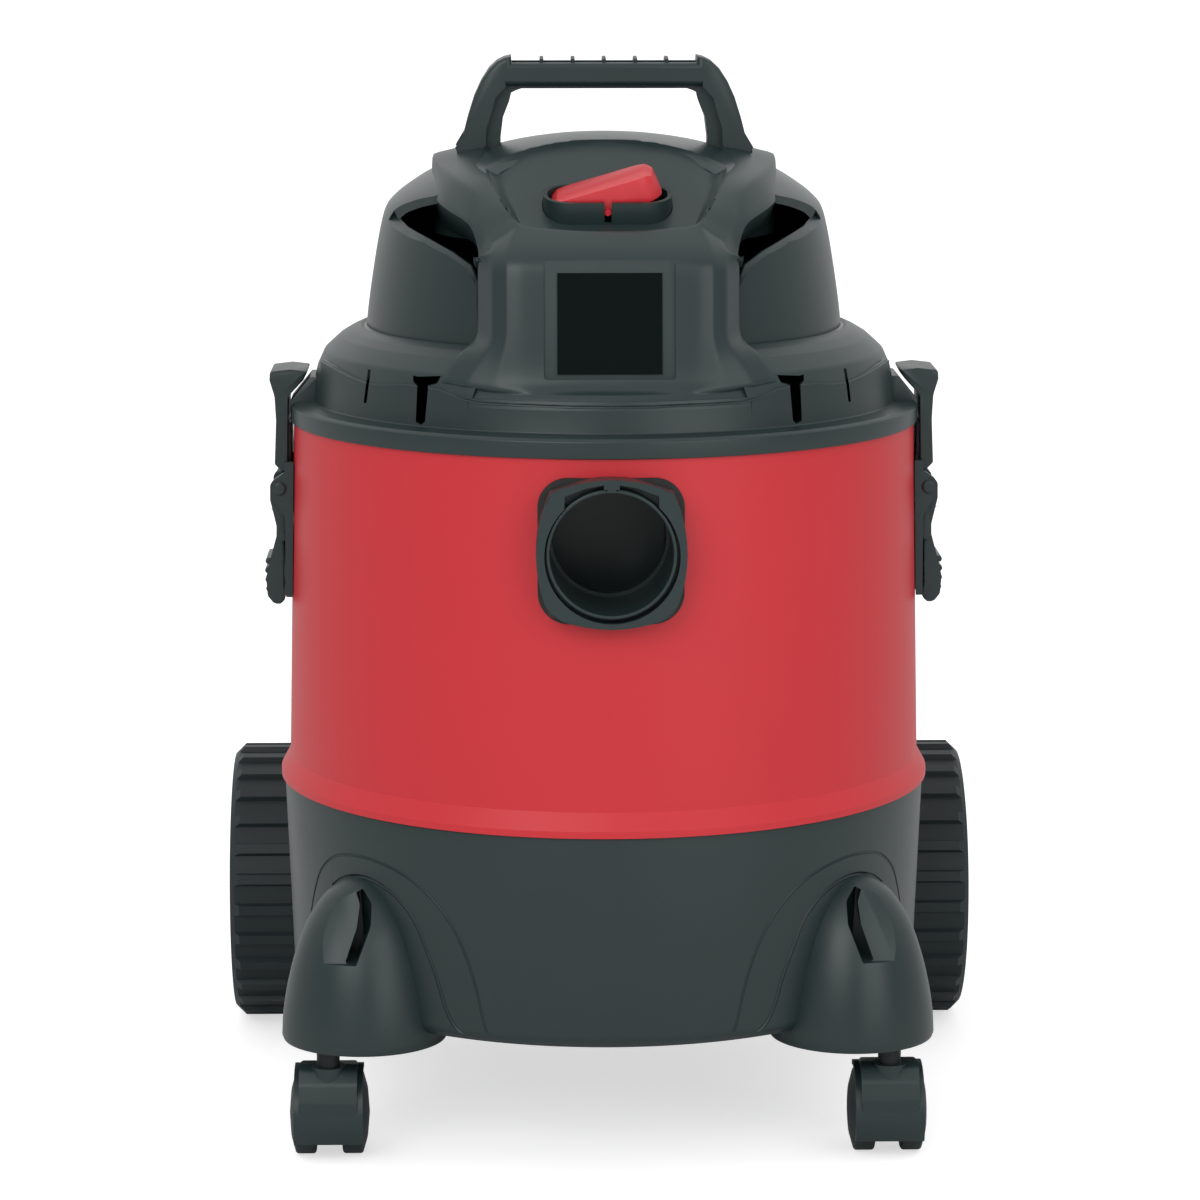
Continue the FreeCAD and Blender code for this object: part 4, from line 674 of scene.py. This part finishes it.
def band_tab(side):
    """Upstand of the lid's band beside the console, its top edge rising and falling."""
    bm = bmesh.new()
    rings = []
    for p in band_line():
        if p.x > -CONSOLE_HALF:
            break
        around = Vector((p.x * side, p.y, 0)).normalized()
        section = ((142.5, 360), (142.3, p.z - 0.7), (141.7, p.z),
                   (139.7, p.z), (139.0, p.z - 0.8), (139.0, 360))
        rings.append([bm.verts.new(around * r + Vector((0, 0, z))) for r, z in section])
    loft(bm, rings)
    return obj_from(bm, "tab")


def build_lid():
    """Lid with the latches' keepers and the band's tabs, cut away behind the console."""
    lid = lathe("lid", rounded(LID_SECTION, 4), 256)
    combine(lid, [keeper(1), keeper(-1), band_tab(1), band_tab(-1)])
    room_line = [(-CONSOLE_HALF, 368.6), (CONSOLE_HALF, 368.6), (56, 392), (-56, 392)]
    behind_console = slab("room", room_line, "xz", -150, -114)
    groove = tube("groove", band_line(), 0.8)
    return combine(lid, lid_slits(1) + lid_slits(-1) + [groove, behind_console], "DIFFERENCE")


finished(build_lid(), "dark_plastic", "head", "lid", angle=35)


# ---- base with its caster pods -------------------------------------------------------------
BASE_SECTION = [(0, 63.5), (151, 63.5, 1), (155.4, 67.5, 6), (159.3, 166.3, 0.6),
                (156.3, 166.3, 0.4), (152.6, 67.0, 3), (0, 66.5)]
BASE_FOOT, BASE_FOOT_R = 63.5, 155.4
BASE_FLARE = 3.9 / 103.0
POD_X, POD_Y = 117.4, -100.0
CASTER_X, CASTER_Y = 134.5, -119.0
POD_SECTION = [(0, 135.6), (6, 134.9), (11.5, 132.1), (19.1, 125.9), (27.2, 113.6), (32.9, 98.6),
               (36.8, 83.4), (39.2, 69.0), (39.9, 58.0)]


def base_r(z):
    """Outside radius of the base at a height."""
    return BASE_FOOT_R + (z - BASE_FOOT) * BASE_FLARE


def on_base(line, side):
    """Points (x, z) of a line in front of the base, put on its surface."""
    found = []
    for p in flowing(line, 5):
        depth = math.sqrt(max(base_r(p.y) ** 2 - p.x ** 2, 1))
        found.append(Vector((p.x * side, -depth, p.y)))
    return found


# grooves round a pod on the base's wall: the wide arch and the collar inside it
ARCH = [(-145.2, 104), (-142.5, 119), (-138.6, 132.5), (-131.4, 141.8), (-121.6, 145.4),
        (-110.2, 145.0), (-97.4, 141), (-85.4, 132.8), (-75.2, 120.3), (-68.0, 105.2),
        (-63.0, 88.5), (-59.8, 73.4), (-56.2, 65.4), (-50, 62)]
COLLAR = [(-133, 126.5), (-127.6, 132.0), (-119.8, 135.4), (-111.0, 134.6), (-101.2, 129.2),
          (-93.0, 119.8), (-87.2, 106.2), (-82.2, 92.8), (-78.6, 80.4), (-74.2, 71.0),
          (-66.6, 64.8), (-60, 62.5)]


POD_FOOT = [(39.2, 56.2), (36.8, 56.2), (36.4, 59), (0, 59)]
SCOOP_LINE = [(-120.2, 98.8, 1.2), (-114.6, 115.0, 6), (-114.0, 124.0, 4), (-117.6, 130.5, 3),
              (-126, 136), (-150, 136), (-150, 98.8)]
# the scoop's floor: its corner, and how it slopes back to the outside and upwards
SCOOP_OUTER_Y = -150  # the cutter's points behind this lie on it
SCOOP_Y, SCOOP_X, SCOOP_Z = -128.0, 120, 99
SCOOP_SLOPE_X, SCOOP_SLOPE_Z = 0.05, 0.47
POD_SLOT_LINE = [(-120.2, 98.8, 1), (-125.8, 98.8, 1), (-120.2, 114.5, 8), (-118.8, 124.8, 5),
                 (-120.6, 130.3, 0.6), (-117.4, 131.6, 0.8), (-113.0, 126.0, 4), (-113.4, 116.0, 6)]


def pod(side):
    """Bullet over a caster with the scoop and the slot in its face."""
    outline = [Vector(p) for p in flowing(POD_SECTION, 4) + POD_FOOT]
    shape = lathe("pod", outline, 96, centre=(POD_X * side, POD_Y, 0))
    scoop_line = [(-p.x * side, p.y) for p in rounded(SCOOP_LINE, 5)]
    scoop = slab("scoop", scoop_line, "xz", -190, -130)
    for vertex in scoop.data.vertices:
        point = millimetres(vertex.co)
        if point.y > SCOOP_OUTER_Y:
            point.y = (SCOOP_Y + SCOOP_SLOPE_X * (abs(point.x) - SCOOP_X)
                       + SCOOP_SLOPE_Z * (point.z - SCOOP_Z))
            vertex.co = metres(point)
    slot_line = [(-p.x * side, p.y) for p in rounded(POD_SLOT_LINE, 5)]
    slot = slab("slot", slot_line, "xz", -190, -104)
    return combine(shape, [scoop, slot], "DIFFERENCE")


def arm(side):
    """Bracket that carries the axle behind the drum."""
    line = rounded([(60, 64), (147, 59, 4), (167, 59, 8), (167, 87, 8), (60, 128)], 5)
    return slab("arm", line, "yz", *sorted((128.0 * side, 145.6 * side)), 1.4)


def build_base():
    """Base bowl with its pods, arms and rear beam; the tub's room is cut out last."""
    shell = lathe("base", rounded(BASE_SECTION, 5), 256)
    beam_line = rounded([(120, 61.5), (164.5, 61.5, 5), (164.5, 84.5, 5), (120, 84.5)], 5)
    beam = slab("beam", beam_line, "yz", -136, 136, 1.0)
    combine(shell, [arm(1), arm(-1), beam, pod(1), pod(-1)])
    cuts = []
    for side in (1, -1):
        cuts.append(tube("arch", on_base(ARCH, side), 0.75))
        cuts.append(tube("collar", on_base(COLLAR, side), 1.1))
    inside = lathe("tub_room", [(0, 67.2), (152.0, 67.2), (155.9, 167.5), (0, 167.5)], 128)
    return combine(shell, [inside] + cuts, "DIFFERENCE")


finished(build_base(), "dark_plastic", "tub", "base", angle=38)


SOCKET_SECTION = [(5.6, 58, 0.3), (7.5, 58, 0.3), (7.5, 97.6, 0.6), (5.6, 97.6, 0.3)]


def build_sockets():
    """Steel sleeves round the casters' stems, low enough to stay hidden in the pods."""
    section = rounded(SOCKET_SECTION, 3)
    sleeves = [lathe("caster_sockets", section, 48, centre=(CASTER_X * side, CASTER_Y, 0))
               for side in (1, -1)]
    return combine(sleeves[0], [sleeves[1]])


finished(build_sockets(), "steel", "tub", "caster_sockets", angle=35)


CASTER_AXLE = (-107, 20)  # y and z of the wheels' pin
HOOD_FRONT = [(-130.4, 22), (-130.0, 30, 8), (-127.6, 39, 8), (-123.0, 45.4, 4), (-117, 46.4, 6),
              (-107, 45.6), (-107, 22)]


def build_hood_front(side):
    """Smooth front of a caster's hood, which runs up over the boss of its stem."""
    ends = sorted((120.6 * side, 148.4 * side))
    block = slab("hood_front", rounded(HOOD_FRONT, 5), "yz", *ends, 1.6, 3)
    room = lathe("room", [(0, -30), (21.5, -30), (21.5, 30), (0, 30)], 64,
                 centre=(CASTER_X * side, *CASTER_AXLE), axis="x")
    stem = lathe("stem", [(0, 30), (5.6, 30), (5.6, 60), (0, 60)], 32,
                 centre=(CASTER_X * side, CASTER_Y, 0))
    return combine(block, [room, stem], "DIFFERENCE")


for side, word in SIDES:
    finished(build_hood_front(side), "dark_plastic", "caster_" + word)


# ---- hose inlet ----------------------------------------------------------------------------
INLET_Z = 301.0
INLET_FRONT = -166.0
BORE_R = 28.5
BEFORE_ALL = -180.0
DRUM_WALL = [(0, 250), (155.4, 250), (153.4, 345), (0, 345)]
FLANGE_GAP = [(-21.8, 21.0), (-21.6, 27.2), (-12.0, 30.9), (-3.6, 32.4), (-3.6, 29.0), (-16, 25.0)]
MOUTH_SECTION = [(BORE_R, INLET_FRONT + 1.2, 0.5), (30.3, INLET_FRONT + 1.2, 0.7), (30.6, -112),
                 (BORE_R, -112)]
KEY_LINE = [(-1.9, 28.8), (1.9, 28.8), (2.3, 34.4, 1), (-2.3, 34.4, 1)]


def bowed(corner, middle, steps=10):
    """Square whose four sides bow out from the corners to the middle."""
    points = []
    for turn in range(4):
        for k in range(steps):
            t = -1 + 2 * k / steps
            side = Vector((corner * t, -corner - (middle - corner) * (1 - t * t)))
            points.append(Matrix.Rotation(turn * math.pi / 2, 2) @ side)
    return points


def at_inlet(points):
    """Points drawn round the middle of the inlet."""
    return [(p[0], p[1] + INLET_Z) for p in points]


def disc(radius, y0, y1, dx=0.0, dz=0.0, steps=96):
    """Cutter for a round hole, dx and dz off the middle of the inlet."""
    turns = [2 * math.pi * k / steps for k in range(steps)]
    line = [(dx + radius * math.cos(a), INLET_Z + dz + radius * math.sin(a)) for a in turns]
    return slab("disc", line, "xz", y0, y1)


def build_inlet():
    """Flange bowed round the drum, with a recess, a thin mouth in it and a key at its top."""
    flange = slab("inlet", at_inlet(bowed(28.6, 34.8)), "xz", INLET_FRONT, -138, 1.5, 3)
    recess = disc(31.3, BEFORE_ALL, INLET_FRONT + 9, 0.3, -0.9)
    gaps = [slab("gap", at_inlet(line), "xz", BEFORE_ALL, INLET_FRONT + 8)
            for line in (FLANGE_GAP, [mirrored(p) for p in FLANGE_GAP])]
    combine(flange, [lathe("drum", DRUM_WALL, 256), recess] + gaps, "DIFFERENCE")
    mouth = lathe("mouth", rounded(MOUTH_SECTION, 3), 128, centre=(0, 0, INLET_Z), axis="y")
    key_line = at_inlet(rounded(KEY_LINE, 3))
    key = slab("key", key_line, "xz", INLET_FRONT + 0.3, INLET_FRONT + 9)
    combine(flange, [mouth, key])
    return combine(flange, [disc(BORE_R, BEFORE_ALL, -100)], "DIFFERENCE")


finished(build_inlet(), "dark_plastic", "tub", "hose_inlet", angle=30)


# ---- latches -------------------------------------------------------------------------------
LATCH_HALF = 17.0
STRAP_HALF = 13.0
FORK_OVERLAP = 0.6
PIVOT_X, PIVOT_Z = 159.5, 311
# seen from the front on the right side, outwards and up
HOOK_LINE = [(155.2, 319), (158.7, 319.2, 1), (161.9, 322.6, 1.5), (161.0, 344, 20),
             (161.6, 356, 12), (164.0, 364, 2), (163.7, 368.2, 1.2), (154, 369.3, 6),
             (145.2, 368.4, 0.8), (147.4, 364.0), (155.2, 355.6, 1)]
STRAP_LINE = [(155.2, 299, 1), (158.2, 294.4, 3), (161.4, 297, 2.6), (159.4, 301, 1), (158.7, 323),
              (158.7, 342), (153.9, 342), (153.9, 325.5), (155.2, 325.5)]
GRIP_LINE = [(157.4, 291), (158.6, 262, 8), (157.6, 255, 2), (159.8, 253, 2), (163.0, 253, 2),
             (166.2, 257, 3), (166.9, 266, 6), (164.2, 277, 8), (161.5, 287, 6), (161.3, 291)]
FORK_LINE = [(155.6, 286), (159.5, 283), (161.6, 286), (161.4, 292, 6), (164.4, 305, 5),
             (164.3, 312.5, 3), (161.6, 316.0, 3), (157.4, 315.6, 3), (154.7, 311, 3),
             (155.6, 303, 3)]
CAP_SECTION = [(0, -0.2), (3.4, -0.2), (3.4, 0.5, 0.4), (2.4, 1.1, 0.6), (0, 1.2)]
GRIP_RIB_FOOT, GRIP_RIB_PITCH = 258.4, 4.6
GRIP_RIB_INSET = 2.5


def latch_part(name, line, side, low, high, bevel):
    """Piece of a latch on one side, from low to high along the drum's y."""
    points = [(p.x * side, p.y) for p in rounded(line, 5)]
    return slab(name, points, "xz", low, high, bevel, 2)


def build_hook(side):
    """Hook over the lid's keeper and the strap that pulls it."""
    hook = latch_part("latch_hook", HOOK_LINE, side, -LATCH_HALF, LATCH_HALF, 0.9)
    return combine(hook, [latch_part("strap", STRAP_LINE, side, -STRAP_HALF, STRAP_HALF, 0.6)])


def grip_rib(side, k):
    """The k-th rib from the bottom of the lever's grip, which bulges a little at the middle."""
    x = 165.9 + 0.5 * k - 0.15 * k * k
    foot = GRIP_RIB_FOOT + GRIP_RIB_PITCH * k
    line = [(x - 2, foot), (x + 0.6, foot + 0.4, 0.5), (x + 1.3, foot + 1.8, 0.8),
            (x + 0.6, foot + 3.2, 0.5), (x - 2, foot + 3.6)]
    half = LATCH_HALF - GRIP_RIB_INSET
    return latch_part("rib", line, side, -half, half, 0.3)


def build_lever(side):
    """Lever with its ribbed grip and the two forks that hold the hook's strap."""
    lever = latch_part("latch_lever", GRIP_LINE, side, -LATCH_HALF, LATCH_HALF, 0.9)
    inner = STRAP_HALF + FORK_OVERLAP
    outer = LATCH_HALF + FORK_OVERLAP
    forks = [latch_part("fork", FORK_LINE, side, *ends, 0.6)
             for ends in ((inner, outer), (-outer, -inner))]
    return combine(lever, forks + [grip_rib(side, k) for k in range(4)])


def build_pivot_caps(side):
    """Covers on both ends of the lever's pivot."""
    low, high = [millimetres(corner).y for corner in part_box("latch_pivot_pins")]
    caps = []
    for level, turn in ((low, -1), (high, 1)):
        line = [(p.x, level + p.y * turn) for p in rounded(CAP_SECTION, 3)]
        caps.append(lathe("cap", line, 32, centre=(PIVOT_X * side, 0, PIVOT_Z), axis="y"))
    return combine(caps[0], [caps[1]])


for side, word in SIDES:
    finished(build_pivot_caps(side), "dark_plastic", "tub")
    finished(build_hook(side), "dark_plastic", "latch_hook_" + word, "latch_hook_" + word)
    finished(build_lever(side), "dark_plastic", "latch_lever_" + word, "latch_lever_" + word)


# ---- switch --------------------------------------------------------------------------------
PADDLE_LINE = [(-26.6, -1.6, 0.8), (26.6, -1.6, 0.8), (25.0, 9.4, 2.2), (21.6, 11.0, 1.2),
               (-21.6, 11.0, 1.2), (-25.0, 9.4, 2.2)]
PADDLE_EDGE = 0.9
PADDLE_TILT = Matrix.Rotation(-math.radians(17.0), 3, "Y")
PIN_MIDDLE = Vector((0, 0, -4.9))


def build_bezel():
    """Cup round the switch, slotted at the front for the rocker's pin."""
    cup = slab("switch_bezel", racetrack(30.4, 14.4, 12.8), "xy", -18, 0.2, 1.0, 3)
    inside = slab("inside", racetrack(28.4, 12.4, 10.8), "xy", -16, 10)
    slot = slab("slot", [(-1.7, -20), (1.7, -20), (1.7, -9), (-1.7, -9)], "xy", -9.5, 10)
    return placed(combine(cup, [inside, slot], "DIFFERENCE"), on_bowl)


finished(build_bezel(), "dark_gloss", "head", "switch_bezel")


def build_rocker():
    """Paddle with its +X end up, on the pin through the bezel."""
    paddle = slab("rocker", rounded(PADDLE_LINE, 4), "xz", -11, 11)
    combine(paddle, [slab("plan", racetrack(26.7, 11.0, 10.6), "xy", -20, 20)], "INTERSECT")
    edge = paddle.modifiers.new("edge", "BEVEL")
    edge.width = PADDLE_EDGE / MM
    edge.segments = 3
    edge.angle_limit = math.radians(40)
    baked(paddle)
    pin_line = [(0, -12.9), (1.6, -12.9), (1.6, 12.9), (0, 12.9)]
    combine(paddle, [lathe("pin", pin_line, 24, axis="y")])
    return placed(paddle, lambda p: on_bowl(PADDLE_TILT @ p + PIN_MIDDLE))


finished(build_rocker(), "rocker_red", "rocker", "rocker", angle=25)


# ---- stage, light and camera ---------------------------------------------------------------
SKY_SIDE = (0.0, 0.45, 0.89)  # the studio is light above and behind, dark low in front
SKY_DARK, SKY_LIGHT = (-0.45, 0.10), (0.8, 1.0)  # how far towards that side, and strength there
PAPER = (0.70, 0.70, 0.70, 1)
PAPER_GLOW = 0.60  # lifts the floor to white, for the camera only
KEY_W, FILL_W = 34, 20
LAMP_SIZE = (1.8, 1.8)
FOCAL_PX, IMAGE_PX, SENSOR_MM = 4300.0, 1200.0, 36.0
CAMERA = (-48.0, -2111.0, 619.1)
CAMERA_DROP = 9.88  # degrees below level
AIM_PX = 3.7  # how far the drum's axis stands from the middle of the photograph

scene = bpy.context.scene
scene.view_settings.view_transform = "Standard"

world = bpy.data.worlds.new("studio")
scene.world = world
world.use_nodes = True
sky = world.node_tree
white = sky.nodes["Background"]
white.inputs["Color"].default_value = (1, 1, 1, 1)
seen = sky.nodes.new("ShaderNodeLightPath")
where = sky.nodes.new("ShaderNodeTexCoord")
lean = sky.nodes.new("ShaderNodeVectorMath")
lean.operation = "DOT_PRODUCT"
lean.inputs[1].default_value = SKY_SIDE
shade = sky.nodes.new("ShaderNodeMapRange")
shade.inputs["From Min"].default_value, shade.inputs["To Min"].default_value = SKY_DARK
shade.inputs["From Max"].default_value, shade.inputs["To Max"].default_value = SKY_LIGHT
level = sky.nodes.new("ShaderNodeMix")
level.inputs["B"].default_value = 1.0
sky.links.new(where.outputs["Generated"], lean.inputs[0])
sky.links.new(lean.outputs["Value"], shade.inputs["Value"])
sky.links.new(shade.outputs["Result"], level.inputs["A"])
sky.links.new(seen.outputs["Is Camera Ray"], level.inputs["Factor"])
sky.links.new(level.outputs["Result"], white.inputs["Strength"])

bpy.ops.mesh.primitive_plane_add(size=60)
floor = bpy.context.object
floor.name = "floor"
paper = bpy.data.materials.new("paper")
paper.use_nodes = True
tree = paper.node_tree
surface = tree.nodes["Principled BSDF"]
surface.inputs["Base Color"].default_value = PAPER
surface.inputs["Roughness"].default_value = 0.9
surface.inputs["Specular IOR Level"].default_value = 0.0
surface.inputs["Emission Color"].default_value = (1, 1, 1, 1)
path_of = tree.nodes.new("ShaderNodeLightPath")
glow = tree.nodes.new("ShaderNodeMapRange")
glow.inputs["To Min"].default_value = 0.0
glow.inputs["To Max"].default_value = PAPER_GLOW
tree.links.new(path_of.outputs["Is Camera Ray"], glow.inputs["Value"])
tree.links.new(glow.outputs["Result"], surface.inputs["Emission Strength"])
floor.data.materials.append(paper)


def lamp(name, place, aim, power):
    """Soft square lamp pointed at aim."""
    light = bpy.data.lights.new(name, "AREA")
    light.shape = "RECTANGLE"
    light.size, light.size_y = LAMP_SIZE
    light.energy = power
    holder = bpy.data.objects.new(name, light)
    scene.collection.objects.link(holder)
    holder.location = place
    holder.rotation_euler = (Vector(aim) - Vector(place)).to_track_quat("-Z", "Y").to_euler()


lamp("key", (-1.1, -2.6, 1.7), (0, 0, 0.28), KEY_W)
lamp("fill", (1.5, -2.4, 1.1), (0, 0, 0.25), FILL_W)

camera = bpy.data.objects.new("camera", bpy.data.cameras.new("camera"))
scene.collection.objects.link(camera)
camera.data.sensor_width = SENSOR_MM
camera.data.lens = FOCAL_PX / IMAGE_PX * SENSOR_MM
camera.location = metres(CAMERA)
yaw = math.atan2(-CAMERA[0], -CAMERA[1]) - math.atan2(AIM_PX, FOCAL_PX)
camera.rotation_euler = (math.radians(90 - CAMERA_DROP), 0, -yaw)
scene.camera = camera
